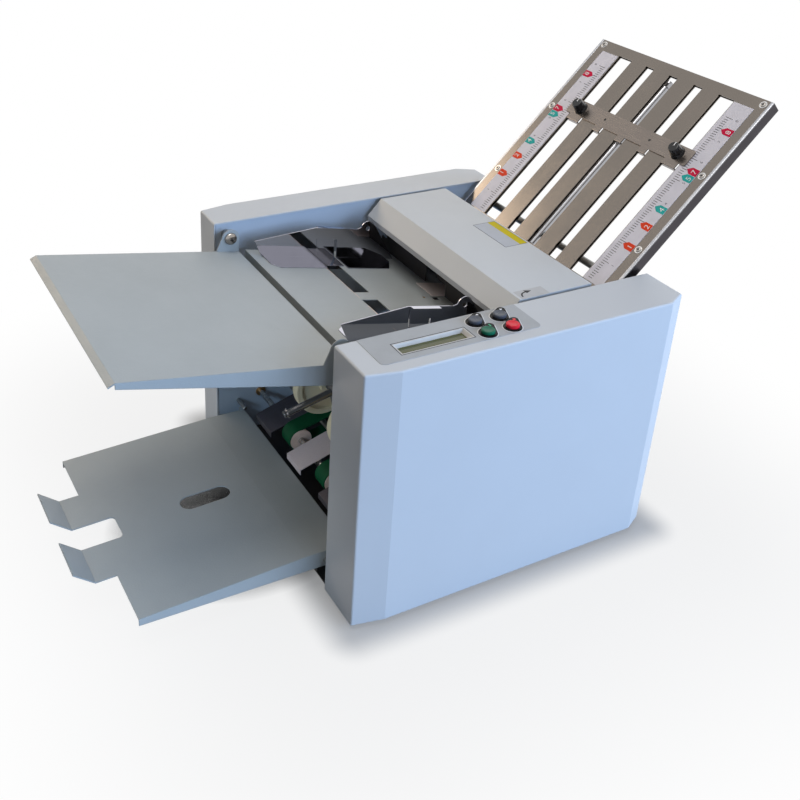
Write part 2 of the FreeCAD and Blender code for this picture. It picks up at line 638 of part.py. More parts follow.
def paper_guide(y_wall):
    """Mirror-finished guide with a base flange, and the grip bracket that clamps it in its slot."""
    outline, ear = guide_wall_outline()
    out = 1 if y_wall > 0 else -1
    back = y_wall + out * GUIDE_T
    y_in, y_out = sorted((y_wall, back))
    wall = prism_xz(outline, y_in, y_out)
    edge = y_wall - out * GUIDE_FLANGE
    start = GUIDE_FRONT[0] + 12
    end = min(GUIDE_BACK_X, PAD_X[0] - PAD_CLEARANCE)
    run = (end - start) / math.cos(math.radians(DECK_SLOPE))
    nose = 10.0
    plan = [(0, back), (run, back), (run, y_wall - out * 12), (run - 14, edge), (nose, edge),
            (0, edge + out * nose)]
    flange = on_slope(prism_xy(plan, REST_GAP, REST_GAP + GUIDE_T), (start, deck_z(start)), -DECK_SLOPE)
    b0, b1 = BRACKET_X
    ahead, behind, height = GUIDE_WINDOW
    far_y, near_y = sorted((edge - out, back + out))
    w0, w1 = b0 - ahead, b1 + behind
    window = [(x, deck_z(x) + z) for x, z in ((w0, -5), (w0, height), (w1, height), (w1, -5))]
    sheet = joined([wall, flange]).cut([prism_xz(window, far_y, near_y),
                                        rod_y(ear, 3.2, y_in - 1, y_out + 1)])
    return joined([sheet] + guide_bracket(y_wall, out, edge))


def guide_bracket(y_wall, out, edge):
    """Bracket behind a guide's wall: plate, lip to grip, foot on the table and hook under it."""
    b0, b1 = BRACKET_X
    back = y_wall + out * GUIDE_T
    p0, p1 = sorted((back, back + out * GUIDE_T))
    lip_x0, lip_x1 = GUIDE_LIP_X
    top = GUIDE_KNEE[1] - 0.6
    fall = math.tan(math.radians(DECK_SLOPE))
    plate = prism_xz([(b0, deck_z(b0) + REST_GAP + 0.3), (b1, deck_z(b1) + REST_GAP + 0.3),
                      (b1, top - fall * (b1 - lip_x0)), (b0, top)], p0, p1)
    l0, l1 = sorted((y_wall, y_wall + out * GUIDE_LIP))
    far_z = top - fall * (lip_x1 - lip_x0)
    lip = prism_xz([(lip_x0, top), (lip_x1, far_z), (lip_x1, far_z - GUIDE_T), (lip_x0, top - GUIDE_T)],
                   l0, l1)
    along = 1 / math.cos(math.radians(DECK_SLOPE))
    length = (b1 - b0) * along
    tip = edge + out * BRACKET_FOOT
    f0, f1 = sorted((tip, back + out * GUIDE_T))
    foot = box(0, length, f0, f1, REST_GAP, REST_GAP + GUIDE_T)
    a0, a1 = (SLOT_X[0] + 2.5 - b0) * along, (SLOT_X[1] - 2.5 - b0) * along
    low = -SHEET_T - REST_GAP - 2 * GUIDE_T
    t0, t1 = sorted((tip, tip + out * GUIDE_T))
    tab = box(max(a0, 0), a1, t0, t1, low, REST_GAP + GUIDE_T)
    h0, h1 = sorted((tip, tip + out * 12.0))
    hook = box(a0 - 9, a1 + 9, h0, h1, low, low + GUIDE_T)
    lower = on_slope(joined([foot, tab, hook]), (b0, deck_z(b0)), -DECK_SLOPE)
    return [plate, lip, lower]


def tray_z(x):
    """Height of the feed tray's upper surface."""
    slope = math.radians(TRAY_SLOPE)
    return TRAY_PIVOT[1] - TRAY_DROP / math.cos(slope) - math.tan(slope) * (x - TRAY_PIVOT[0])


def tray_stop_place():
    """Rod behind the tray's turned-down inner end, which keeps the tray from dropping."""
    return (TRAY_INNER_X + STUD_R + 0.05, tray_z(TRAY_INNER_X) - 16)


def feed_tray():
    """Tray extension that folds up about its two ears; gives back its hinge screws and spacers."""
    px, pz = TRAY_PIVOT
    top = tray_z
    x0, x1 = TRAY_OUTER_X, TRAY_INNER_X
    a = math.radians(180 + TRAY_LIP_ANGLE)
    lip = (x0 + TRAY_LIP * math.cos(a), top(x0) + TRAY_LIP * math.sin(a))
    end_z = top(x1) - TRAY_EDGE_DEPTH[1]
    line = [lip, (x0, top(x0)), (x1, top(x1)), (x1, end_z + TRAY_END_SHORT)]
    sheet = prism_xz(bent_strip(line, SHEET_T), -TRAY_HALF_W, TRAY_HALF_W)
    side = [(x0, top(x0) - TRAY_EDGE_DEPTH[0]), (x0, top(x0) - 0.5), (x1, top(x1) - 0.5),
            (x1, end_z + TRAY_END_SHORT), (x1 - TRAY_END_SHORT, end_z)]
    flange = prism_xz(side, TRAY_HALF_W - SHEET_T, TRAY_HALF_W)
    ear_foot = [(px - EAR_R - 8, top(px - EAR_R - 8) - 1), (px - EAR_R + 0.6, pz + 3),
                (px + EAR_R - 0.6, pz + 3), (px + EAR_R - 1, top(px + EAR_R - 1) - 1)]
    ear = joined([rod_y(TRAY_PIVOT, EAR_R, TRAY_HALF_W - SHEET_T, TRAY_HALF_W),
                  prism_xz(ear_foot, TRAY_HALF_W - SHEET_T, TRAY_HALF_W)])
    side_part = joined([flange, ear]).cut(rod_y(TRAY_PIVOT, 3 + RUN_FIT, 0, TRAY_HALF_W + 1))
    export("feed_tray", joined([sheet, side_part, mirrored(side_part)]))

    head = rod_y(TRAY_PIVOT, 7.0, TRAY_HALF_W - SHEET_T - 4.2, TRAY_HALF_W - SHEET_T - REST_GAP)
    rim = [e for e in head.Edges if e.BoundBox.YMax < TRAY_HALF_W - SHEET_T - 4.1]
    head = head.makeFillet(2.4, rim)
    shank = rod_y(TRAY_PIVOT, 3.0, TRAY_HALF_W - SHEET_T - 1, FRAME_IN)
    screw = joined([head, shank])
    spacer = ring_y(TRAY_PIVOT, 6.0, 3.0 + SEAT_FIT, TRAY_HALF_W + REST_GAP, FRAME_IN)
    return [screw, mirrored(screw)], [spacer, mirrored(spacer)]


# ---------------------------------------------------------------- delivery
def delivery_tray():
    """Delivery tray with stop prongs, finger slot and side flanges; gives back its pivots."""
    (ix, iz), (kx, kz), (ox, oz) = OUT_INNER, OUT_KNEE, OUT_OUTER
    slope = (kz - oz) / (kx - ox)
    prong_z = oz - slope * PRONG_L
    tip = (ox - PRONG_L - PRONG_TIP[0], prong_z + PRONG_TIP[1])
    line = [tip, (ox - PRONG_L, prong_z), (kx, kz), (ix, iz)]
    sheet = prism_xz(bent_strip(line, SHEET_T), -OUT_HALF_W, OUT_HALF_W)
    reach = 60.0
    y0, y1 = PRONG_Y
    low, high = tip[0] - 1, ox
    cuts = [box(low, high, y1, OUT_HALF_W + 1, 0, reach * 2),
            box(low, high, -OUT_HALF_W - 1, -y1, 0, reach * 2)]
    notch = box(low, ox + NOTCH_DEPTH, -y0, y0, 0, reach * 2)
    inner_edges = [e for e in notch.Edges if e.Length > reach and e.BoundBox.XMin > ox]
    cuts.append(notch.makeFillet(NOTCH_R, inner_edges))
    g0, g1, gr = GRIP_SLOT
    cuts.append(box(g0 + gr, g1 - gr, -gr, gr, 0, reach * 2))
    cuts += [Part.makeCylinder(gr, reach * 2, V(x, 0, 0)) for x in (g0 + gr, g1 - gr)]
    sheet = sheet.cut(cuts)
    side = [(ox, oz - OUT_EDGE_DEPTH[0]), (ox, oz - 0.5), (kx, kz - 0.5), (ix, iz - 0.5),
            (ix, iz - OUT_EDGE_DEPTH[1] + 8), (ix - 8, iz - OUT_EDGE_DEPTH[1])]
    flange = prism_xz(side, OUT_HALF_W - SHEET_T, OUT_HALF_W)
    lug_top = STUD[1] - STUD_R - 0.05
    lug = box(STUD[0] - 5, ix, OUT_HALF_W - SHEET_T, OUT_HALF_W, iz - 3, lug_top)
    side_part = joined([flange, lug]).cut(rod_y(OUT_PIVOT, STUD_R + RUN_FIT, 0, OUT_HALF_W + 1))
    export("delivery_tray", joined([sheet, side_part, mirrored(side_part)]))
    pivot = rod_y(OUT_PIVOT, STUD_R, OUT_HALF_W - SHEET_T - 5, FRAME_IN)
    stud = rod_y(STUD, STUD_R, FRAME_IN - STUD_L, FRAME_IN)
    rim = [e for e in stud.Edges if e.BoundBox.YMax < FRAME_IN - STUD_L + 0.01]
    stud = stud.makeChamfer(0.6, rim)
    return [pivot, stud, mirrored(pivot), mirrored(stud)]


def pulley(at, radius, y_mid, width, flange=1.5):
    """Crowned pulley with a thin guard ring on each side."""
    half = width / 2
    profile = [V(SHAFT_R, 0, -half), V(radius + flange, 0, -half), V(radius + flange, 0, -half + 1.2),
               V(radius, 0, -half + 1.2), V(radius, 0, half - 1.2), V(radius + flange, 0, half - 1.2),
               V(radius + flange, 0, half), V(SHAFT_R, 0, half), V(SHAFT_R, 0, -half)]
    body = Part.Face(Part.makePolygon(profile)).revolve(V(0, 0, 0), V(0, 0, 1), 360)
    body.rotate(V(0, 0, 0), V(1, 0, 0), -90)
    body.translate(V(at[0], y_mid, at[1]))
    return body


def belt_loop(first, last, r_first, r_last, y0, y1, thickness, gap):
    """Flat belt round two pulleys, standing off them by a gap."""
    def hull(grow):
        ra, rb = r_first + grow, r_last + grow
        dx, dz = last[0] - first[0], last[1] - first[1]
        length = math.hypot(dx, dz)
        base_angle = math.degrees(math.atan2(dz, dx))
        spread = math.degrees(math.acos((ra - rb) / length))
        upper = (polar(first, ra, base_angle + spread), polar(last, rb, base_angle + spread))
        lower = (polar(first, ra, base_angle - spread), polar(last, rb, base_angle - spread))
        back = polar(first, ra, base_angle + 180)
        nose = polar(last, rb, base_angle)
        p = [V(q[0], y0, q[1]) for q in (upper[0], upper[1], nose, lower[1], lower[0], back)]
        edges = [Part.LineSegment(p[0], p[1]).toShape(), Part.Arc(p[1], p[2], p[3]).toShape(),
                 Part.LineSegment(p[3], p[4]).toShape(), Part.Arc(p[4], p[5], p[0]).toShape()]
        return Part.Face(Part.Wire(edges)).extrude(V(0, y1 - y0, 0))
    return hull(gap + thickness).cut(hull(gap))


def guide_line_z(x):
    """Height of the guide plates between and beside the delivery belts."""
    gx, gz = GUIDE_PLATE_FRONT
    return gz + math.tan(math.radians(GUIDE_PLATE_TILT)) * (x - gx)


def delivery_deck():
    """Two belt rollers, the delivery belts and their guide plates; gives back the inner chutes."""
    for name, at in (("front", FRONT_PULLEY), ("rear", REAR_PULLEY)):
        near_end = -FRAME_OUT - 2
        pieces = [pulley(at, PULLEY_R, y, PULLEY_W) for y in (-BELT_Y, BELT_Y)]
        if name == "rear":
            near_end = drive_y(1) - DRIVE_BELT_W / 2 - 3
            pieces.append(pulley(at, SMALL_PULLEY_R, drive_y(1), DRIVE_BELT_W + 3))
        pieces.append(rod_y(at, SHAFT_R, near_end, FRAME_OUT + 2))
        export(f"delivery_roller_{name}", group(pieces))
    belts = []
    for y in (-BELT_Y, BELT_Y):
        belts.append(belt_loop(FRONT_PULLEY, REAR_PULLEY, PULLEY_R, PULLEY_R, y - BELT_W / 2,
                               y + BELT_W / 2, BELT_T, BELT_GAP))
    export("delivery_belts", group(belts))
    gx, gz = GUIDE_PLATE_FRONT
    line = [(gx, gz - 8), (gx, gz), (GUIDE_PLATE_BACK_X, guide_line_z(GUIDE_PLATE_BACK_X))]
    strip = bent_strip(line, 1.0)
    s0, s1 = SIDE_GUIDE_Y
    plates = [prism_xz(strip, -MID_GUIDE_HALF, MID_GUIDE_HALF)]
    plates += [prism_xz(strip, s0, s1), prism_xz(strip, -s1, -s0)]
    export("delivery_guides", group(plates))
    inner = []
    for line in (THROAT_LINE, CHUTE_LINE):
        placed = [(NIP_ONE[0] + x, NIP_ONE[1] + z) for x, z in line]
        inner.append(prism_xz(bent_strip(placed, PLATE_SHEET), -FRAME_IN, FRAME_IN))
    return inner


def stack_rod_z(x):
    """Height of the stacker rod's axis."""
    over = STACK_ROD_OVER / BELT_ALONG[0]
    return AXLE_AT[1] + over + BELT_SLOPE * (x - AXLE_AT[0])


def stacker():
    """Stacker wheels that ride on the belts and their carriage; gives back the rod it slides on."""
    x0, x1 = STACK_ROD_X
    start = V(x0, 0, stack_rod_z(x0))
    length = (x1 - x0) / BELT_ALONG[0]
    axis = V(BELT_ALONG[0], 0, BELT_ALONG[1])
    rod = Part.makeCylinder(STACK_ROD_R, length, start, axis)
    clip = Part.makeCylinder(STACK_ROD_R + 2.2, 1.6, start + axis * 4, axis)
    bar = box(x1 - 6, x1 + 6, -FRAME_IN, FRAME_IN, stack_rod_z(x1) - 7, stack_rod_z(x1) + 7)
    bore = Part.makeCylinder(STACK_ROD_R, length + 40, start, axis)
    guide_rod = [joined([rod, clip]), bar.cut(bore)]

    half = 11.0
    body = box(-half, half, -9, 9, -STACK_ROD_OVER - 7, 9)
    edges = [e for e in body.Edges if abs(e.Vertexes[0].Point.y - e.Vertexes[-1].Point.y) > 1]
    body = body.makeFillet(4.0, edges)
    body = on_slope(body, (AXLE_AT[0] + STACK_ROD_OVER * BELT_SQUARE[0],
                           AXLE_AT[1] + STACK_ROD_OVER * BELT_SQUARE[1]), BELT_TILT)
    rod_hole = Part.makeCylinder(STACK_ROD_R + RUN_FIT, length + 60, start - axis * 30, axis)
    body = body.cut([rod_hole, rod_y(AXLE_AT, AXLE_R, -20, 20)])
    axle = rod_y(AXLE_AT, AXLE_R, -WHEEL_Y - 12, WHEEL_Y + 12)
    export("stacker_carriage", group([body, axle]))
    bore_r = AXLE_R + RUN_FIT
    half_w = WHEEL_W / 2
    profile = [V(bore_r, 0, -9), V(9, 0, -9), V(9, 0, -3), V(WHEEL_R - 9, 0, -3),
               V(WHEEL_R - 8, 0, -half_w), V(WHEEL_R - 1, 0, -half_w), V(WHEEL_R, 0, -half_w + 1),
               V(WHEEL_R, 0, half_w - 1), V(WHEEL_R - 1, 0, half_w), V(WHEEL_R - 8, 0, half_w),
               V(WHEEL_R - 9, 0, 3), V(9, 0, 3), V(9, 0, 9), V(bore_r, 0, 9), V(bore_r, 0, -9)]
    wheel = Part.Face(Part.makePolygon(profile)).revolve(V(0, 0, 0), V(0, 0, 1), 360)
    wheel.rotate(V(0, 0, 0), V(1, 0, 0), -90)
    wheel.translate(V(AXLE_AT[0], WHEEL_Y, AXLE_AT[1]))
    export("stacker_wheels", both_sides(wheel))
    return guide_rod


# ---------------------------------------------------------------- top cover and feed
def top_cover():
    """Hinged cover over the feed roller; gives back its pins and the paper gate under it."""
    top = TOP_Z
    nx, nz = TOP_NOSE
    line = [(nx + 9, nz - TOP_LIP), (nx + 0.4, nz - TOP_LIP), (nx, nz), (TOP_CREASE_X, top),
            (TOP_BACK_X, top), (TOP_BACK_X, top - 12)]
    shell = prism_xz(bent_strip(line, SHEET_T), -TOP_HALF_W, TOP_HALF_W)
    pivot = (TOP_BACK_X - 8, top - TOP_PIVOT_DROP)
    cheek = [(nx + 1.0, nz - TOP_LIP + 0.6), (nx + 0.9, nz - 0.6), (TOP_CREASE_X + 0.4, top - 0.6),
             (TOP_BACK_X - 0.6, top - 0.6), (TOP_BACK_X - 0.6, top - TOP_PIVOT_DROP - 2),
             (TOP_BACK_X - 8, top - TOP_PIVOT_DROP - 7), (TOP_BACK_X - 20, top - TOP_SIDE + 8),
             (TOP_CREASE_X + 6, top - TOP_SIDE), (nx + 9, nz - TOP_LIP + 0.6)]
    side = prism_xz(cheek, TOP_HALF_W - SHEET_T, TOP_HALF_W)
    side = side.cut(rod_y(pivot, STUD_R + RUN_FIT, 0, TOP_HALF_W + 1))
    export("top_cover", joined([shell, side, mirrored(side)]))
    low = deck_z(GATE_X) + 1.2
    high = top - 16
    gate = box(GATE_X, GATE_X + SHEET_T, -FRAME_IN, FRAME_IN, low, high)
    opening = box(GATE_X - 1, GATE_X + 3, PAD_Y - PAD_W / 2 - 4, PAD_Y + PAD_W / 2 + 4, low - 1,
                  FEED_SHAFT[1] + FEED_WHEEL_R + 3)
    clear_y = TOP_HALF_W - 7
    notch = box(GATE_X - 1, GATE_X + 3, clear_y, FRAME_IN + 1, low + 18, high + 1)
    pin = rod_y(pivot, STUD_R, TOP_HALF_W - SHEET_T - 3, FRAME_IN)
    return [pin, mirrored(pin)], [gate.cut([opening, notch, mirrored(notch)])]


def feed_roller():
    """Feed shaft with its hub and drive pulley, and the rubber wheel on the hub."""
    near_end = drive_y(1) - DRIVE_BELT_W / 2 - 3
    shaft = rod_y(FEED_SHAFT, SHAFT_R, near_end, FRAME_OUT + 2)
    half = PAD_W / 2 - 1
    hub = ring_y(FEED_SHAFT, FEED_HUB_R, SHAFT_R, PAD_Y - half - 5, PAD_Y + half + 5)
    drive_pulley = pulley(FEED_SHAFT, SMALL_PULLEY_R, drive_y(1), DRIVE_BELT_W + 3)
    export("feed_shaft", group([shaft, hub, drive_pulley]))
    tyre = rod_y(FEED_SHAFT, FEED_WHEEL_R, PAD_Y - half, PAD_Y + half)
    tyre = tyre.makeChamfer(1.0, [e for e in tyre.Edges if len(e.Vertexes) == 1])
    export("feed_wheel", tyre.cut(rod_y(FEED_SHAFT, FEED_HUB_R, -FRAME_IN, FRAME_IN)))


# ---------------------------------------------------------------- rollers and drive
def drive_y(row):
    """Middle of a drive row outside the near frame: row 0 holds gears, row 1 pulleys."""
    return -(FRAME_OUT + 8 + row * 14)


def gear(at, phase, with_pulley):
    """Spur gear about an axis along y, one tooth centred on the phase angle, on a plain hub."""
    pitch = PITCH_R
    base = pitch * math.cos(math.radians(20))
    tip = pitch + GEAR_MODULE * 0.95
    root = pitch - GEAR_MODULE * 1.2
    half_pitch = math.pi / (2 * GEAR_TEETH) - GEAR_SLACK / pitch
    inv_pitch = math.tan(math.radians(20)) - math.radians(20)

    def half_angle(radius):
        pressure = math.acos(min(1.0, base / max(radius, base)))
        return half_pitch + inv_pitch - (math.tan(pressure) - pressure)

    radii = [base + 0.02, (base + pitch) / 2 + 0.15, pitch + GEAR_MODULE * 0.45, tip]
    points = []
    for tooth in range(GEAR_TEETH):
        centre = math.radians(phase) + tooth * 2 * math.pi / GEAR_TEETH
        root_half = half_angle(base)
        flank = [(root, root_half)] + [(r, half_angle(r)) for r in radii]
        for r, h in flank:
            points.append((at[0] + r * math.cos(centre - h), at[1] + r * math.sin(centre - h)))
        for r, h in reversed(flank):
            points.append((at[0] + r * math.cos(centre + h), at[1] + r * math.sin(centre + h)))
    y = drive_y(0)
    teeth = prism_xz(points, y - GEAR_W / 2, y + GEAR_W / 2)
    hub_end = drive_y(1) if with_pulley else y - GEAR_W / 2 - 3
    hub = rod_y(at, 8.0, hub_end, y + GEAR_W / 2)
    pieces = [teeth, hub]
    if with_pulley:
        pieces.append(pulley(at, SMALL_PULLEY_R, drive_y(1), DRIVE_BELT_W + 3))
    return joined(pieces).cut(rod_y(at, SHAFT_R, -COVER_Y * 2, 0))


def fold_rollers():
    """Four ground rollers about the second one, with their gears and the drive pulleys."""
    half_tooth = 180.0 / GEAR_TEETH
    phases = {"two": NIP_TILT, "one": NIP_TILT + 90 + 180 + half_tooth,
              "three": NIP_TILT + 180 + half_tooth, "four": NIP_TILT - 90 + 180 + half_tooth}
    for name, at in ROLLERS.items():
        driving = name in ("one", "four")
        near_end = drive_y(1) - DRIVE_BELT_W / 2 - 3 if driving else drive_y(0) - GEAR_W / 2 - 5
        far_end = FRAME_OUT + 18 if name == "two" else FRAME_OUT + 2
        barrel = rod_y(at, ROLLER_R, -ROLLER_HALF_L, ROLLER_HALF_L)
        ends = [e for e in barrel.Edges if len(e.Vertexes) == 1]
        barrel = barrel.makeChamfer(1.5, ends)
        export(f"fold_roller_{name}", joined([barrel, rod_y(at, SHAFT_R, near_end, far_end)]))
        export(f"roller_gear_{name}", gear(at, phases[name], driving))
    bushes = []
    for at in shaft_places():
        for y0 in (FRAME_IN - 1.5, -FRAME_OUT):
            bushes.append(ring_y(at, BUSH_R, SHAFT_R + RUN_FIT, y0, y0 + FRAME_T + 1.5))
    export("shaft_bushes", group(bushes))


def drive():
    """Motor with its shaft and pulley, the main pulley and the three drive belts."""
    y = FRAME_OUT + 10
    export("main_pulley", pulley(ROLLER_TWO, MAIN_PULLEY_R, y, DRIVE_BELT_W + 3))
    body = rod_y(MOTOR_AT, MOTOR_R, FRAME_IN - MOTOR_L, FRAME_IN)
    rim = [e for e in body.Edges if len(e.Vertexes) == 1 and e.BoundBox.YMax < FRAME_IN - 1]
    body = body.makeFillet(3.0, rim)
    foot = box(MOTOR_AT[0] - 20, MOTOR_AT[0] + 20, FRAME_IN - MOTOR_L + 15, FRAME_IN - 15, BASE_TOP,
               MOTOR_AT[1] - MOTOR_R + 4)
    bore = rod_y(MOTOR_AT, SHAFT_R + RUN_FIT, FRAME_IN - 20, FRAME_IN + 1)
    export("drive_motor", joined([body, foot]).cut(bore))
    shaft = rod_y(MOTOR_AT, SHAFT_R, FRAME_IN - 18, FRAME_OUT + 18)
    export("motor_pulley", group([shaft, pulley(MOTOR_AT, MOTOR_PULLEY_R, y, DRIVE_BELT_W + 3)]))
    runs = [(MOTOR_AT, ROLLER_TWO, MOTOR_PULLEY_R, MAIN_PULLEY_R, y),
            (FEED_SHAFT, ROLLER_ONE, SMALL_PULLEY_R, SMALL_PULLEY_R, drive_y(1)),
            (REAR_PULLEY, ROLLER_FOUR, SMALL_PULLEY_R, SMALL_PULLEY_R, drive_y(1))]
    half = DRIVE_BELT_W / 2
    belts = [belt_loop(first, last, ra, rb, mid - half, mid + half, DRIVE_BELT_T, BELT_GAP)
             for first, last, ra, rb, mid in runs]
    export("drive_belts", group(belts))


def power_entry():
    """Power inlet with a rocker switch above it, one moulding on the near cover's rear face."""
    iy, iz = INLET_AT
    sz = iz + SWITCH_RISE
    x = COVER_L
    flange = box(x, x + 2.5, iy - 16, iy + 16, iz - 13, sz + 10)
    corners = [e for e in flange.Edges if e.Length < 3 and e.BoundBox.XLength > 2]
    flange = flange.makeFillet(3.0, corners)
    body = box(x - 22, x + 1, iy - 13, iy + 13, iz - 9.5, sz + 6.5)
    socket = box(x - 16, x + 3, iy - 11.5, iy + 11.5, iz - 8, iz + 8)
    well = box(x - 8, x + 3, iy - 8, iy + 8, sz - 5, sz + 5)
    pin_hole = Part.makeCylinder(1.2 + RUN_FIT, 12.0, V(x + 1.0, iy, sz - 6))
    module = joined([flange, body]).cut([socket, well, pin_hole])
    blades = [box(x - 17, x - 3, iy + dy - 2, iy + dy + 2, iz + dz - 1, iz + dz + 1)
              for dy, dz in ((-6, -2), (0, 3), (6, -2))]
    export("power_inlet", joined([module] + blades))
    half_y = 7.2
    face = [(-3.0, -half_y), (3.2, -half_y), (1.6, 0), (3.2, half_y), (-3.0, half_y)]
    rocker = prism_xy([(x + 1.0 + u, iy + v) for u, v in face], sz - 4.6, sz + 4.6)
    pin = Part.makeCylinder(1.2, 11.6, V(x + 1.0, iy, sz - 5.8))
    rocker = joined([rocker, pin])
    rocker.rotate(V(x + 1.0, iy, sz), V(0, 0, 1), ROCKER_TILT)
    export("switch_rocker", rocker)


# ---------------------------------------------------------------- fold plates
def plate_point(s, n):
    """Point of the x-z plane at a distance s down fold plate one and n above its upper face."""
    ux, uz = PLATE_UP
    return (PLATE_TOP[0] - s * ux - n * uz, PLATE_TOP[1] - s * uz + n * ux)


def on_plate_one(shape):
    """Place a shape built with x up the plate, y across and z off its upper face."""
    return on_slope(shape, PLATE_TOP, PLATE_ANGLE)


def slotted_sheet(start, end, half_w, z0, z1, run):
    """Flat sheet with the five long slots, x from -end to -start."""
    sheet = box(-end, -start, -half_w, half_w, z0, z1)
    cuts = []
    for place, width in SLOT_PLACES:
        for side in ((1,) if place == 0 else (1, -1)):
            mid = side * place
            cuts.append(box(-run[1], -run[0], mid - width / 2, mid + width / 2, z0 - 1, z1 + 1))
    return sheet.cut(cuts)


def rail(start, end, half_w, web_top, seat, depth):
    """Channel along one edge of a fold plate: web outside, flanges turned in under the seat."""
    web = box(-end, -start, half_w, half_w + RAIL_T, -depth, web_top)
    upper = box(-end, -start, half_w - RAIL_FLANGE, half_w + 1, seat - SHEET_T, seat)
    lower = box(-end, -start, half_w - RAIL_FLANGE, half_w + 1, -depth, -depth + SHEET_T)
    body = joined([web, upper, lower])
    edges = [e for e in body.Edges if e.Length > (end - start) * 0.9
             and e.BoundBox.YMin > half_w + RAIL_T - 0.01]
    return body.makeFillet(1.4, edges)


def fold_plate_one():
    """Upper fold plate: slotted sheets, rails and scales; gives back its screws and guide rod."""
    under = -2 * PLATE_SHEET - PLATE_GAP
    sheets = [slotted_sheet(0, PLATE_L, PLATE_HALF_W, low, low + PLATE_SHEET, SLOT_RUN)
              for low in (-PLATE_SHEET, under)]
    export("fold_plate_sheets", on_plate_one(group(sheets)))
    side = rail(0, RAIL_L, PLATE_HALF_W, 0, under, RAIL_DEPTH)
    bores = [Part.makeCylinder(1.6, 20, V(-s, SCREW_Y, -10)) for s in SCREW_PLACES]
    strip = box(-RAIL_L, 0, PLATE_HALF_W - 8, PLATE_HALF_W, under + PLATE_SHEET, -PLATE_SHEET)
    pieces = [on_plate_one(side), on_plate_one(strip.cut(bores))]
    export("fold_plate_rails", group(pieces + [mirrored(piece) for piece in pieces]))
    scale = box(-SLOT_RUN[1], -SLOT_RUN[0] - 1.8, SCALE_Y[0], SCALE_Y[1], 0, SCALE_T)
    export("fold_plate_scales", both_sides(on_plate_one(scale)))
    rod_n = under - ROD_R - 0.2
    rod = Part.makeCylinder(ROD_R, SLOT_RUN[1] - 15, V(-SLOT_RUN[1] - 5, ROD_OFF, rod_n), V(1, 0, 0))
    saddles = [box(-s - 3, -s + 3, ROD_OFF - 7, ROD_OFF + 7, rod_n - 1, under)
               for s in (27.0, SLOT_RUN[1] + 1)]
    guide_rod = on_plate_one(joined([rod] + saddles))
    screws = []
    for s in SCREW_PLACES:
        head = Part.makeCylinder(3.6, 1.8, V(-s, SCREW_Y, 0))
        head = head.makeFillet(1.0, [e for e in head.Edges if e.BoundBox.ZMin > 1.7])
        screw = on_plate_one(head)
        screws += [screw, mirrored(screw)]
    return screws, [guide_rod]


def stop_bar(place, half_l, z_top, z_low, slots):
    """Stop bar that lies over a plate, its fingers bent down through the plate's slots."""
    edge = -place - STOP_W / 2
    bar = box(edge, edge + STOP_W, -half_l, half_l, z_top, z_top + SHEET_T)
    corners = [e for e in bar.Edges if e.Length < SHEET_T + 0.1]
    pieces = [bar.makeFillet(3.0, corners)]
    for offset, width in slots:
        half = width / 2 - 1.6
        for mid in sorted({offset, -offset}):
            lip = box(edge - FINGER_REACH, edge + 1, mid - half, mid + half, z_top, z_top + SHEET_T)
            drop = box(edge - FINGER_REACH, edge - FINGER_REACH + SHEET_T, mid - half, mid + half,
                       z_low, z_top + SHEET_T)
            finger = joined([lip, drop])
            bend = [e for e in finger.Edges if e.BoundBox.ZMin > z_top + SHEET_T - 0.01
                    and e.BoundBox.XMax < edge - FINGER_REACH + 0.01]
            pieces.append(finger.makeFillet(1.3, bend))
    return joined(pieces)


def fold_stop_one():
    """Sliding fold stop of the upper plate, its two clamp blocks and its two knobs."""
    under = -2 * PLATE_SHEET - PLATE_GAP
    z_top = SCALE_T + REST_GAP
    knob_y = SLOT_PLACES[2][0]
    bar = stop_bar(STOP_PLACE, STOP_HALF_L, z_top, under, SLOT_PLACES)
    holes = [Part.makeCylinder(2.0, 30, V(-STOP_PLACE, y, -15)) for y in (45.5, -45.5)]
    bores = [Part.makeCylinder(3.0 + RUN_FIT, 40, V(-STOP_PLACE, y, -20)) for y in (knob_y, -knob_y)]
    low_z = under - REST_GAP - 2.0
    pieces = [bar.cut(holes + bores)]
    for y in (knob_y, -knob_y):
        pieces.append(clamp_block(STOP_PLACE, y, low_z, under, z_top, 17.0).cut(bores))
    export("fold_stop_bar", on_plate_one(group(pieces)))
    for name, y in (("far", knob_y), ("near", -knob_y)):
        export(f"stop_knob_{name}", on_plate_one(knob(-STOP_PLACE, y, z_top + SHEET_T, low_z)))


def clamp_block(place, y, low_z, under, z_top, half_w):
    """Block under a plate with a post up through the slot to the stop bar."""
    nut = box(-place - 8, -place + 8, y - half_w, y + half_w, low_z, under - REST_GAP)
    post = box(-place - 8, -place + 8, y - 6, y + 6, low_z, z_top)
    return joined([nut, post])


def knob(x, y, z0, z_low):
    """Round clamp knob with a skirt, a pointer flat and its threaded stud."""
    z0 = z0 + REST_GAP
    skirt = Part.makeCone(KNOB_R + 1.6, KNOB_R + 0.4, 4.0, V(x, y, z0))
    grip = Part.makeCone(KNOB_R, KNOB_R - 1.2, KNOB_H - 4.0, V(x, y, z0 + 4.0))
    crown = [e for e in grip.Edges if len(e.Vertexes) == 1 and e.BoundBox.ZMin > z0 + KNOB_H - 0.1]
    grip = grip.makeFillet(1.2, crown)
    flutes = []
    for i in range(8):
        a = math.radians(22.5 + i * 45)
        flutes.append(Part.makeCylinder(1.6, KNOB_H, V(x + (KNOB_R + 0.7) * math.cos(a),
                                                      y + (KNOB_R + 0.7) * math.sin(a), z0 + 4.0)))
    stud = Part.makeCylinder(3.0, z0 - z_low + 1.0, V(x, y, z_low))
    return joined([skirt, grip.cut(flutes), stud])


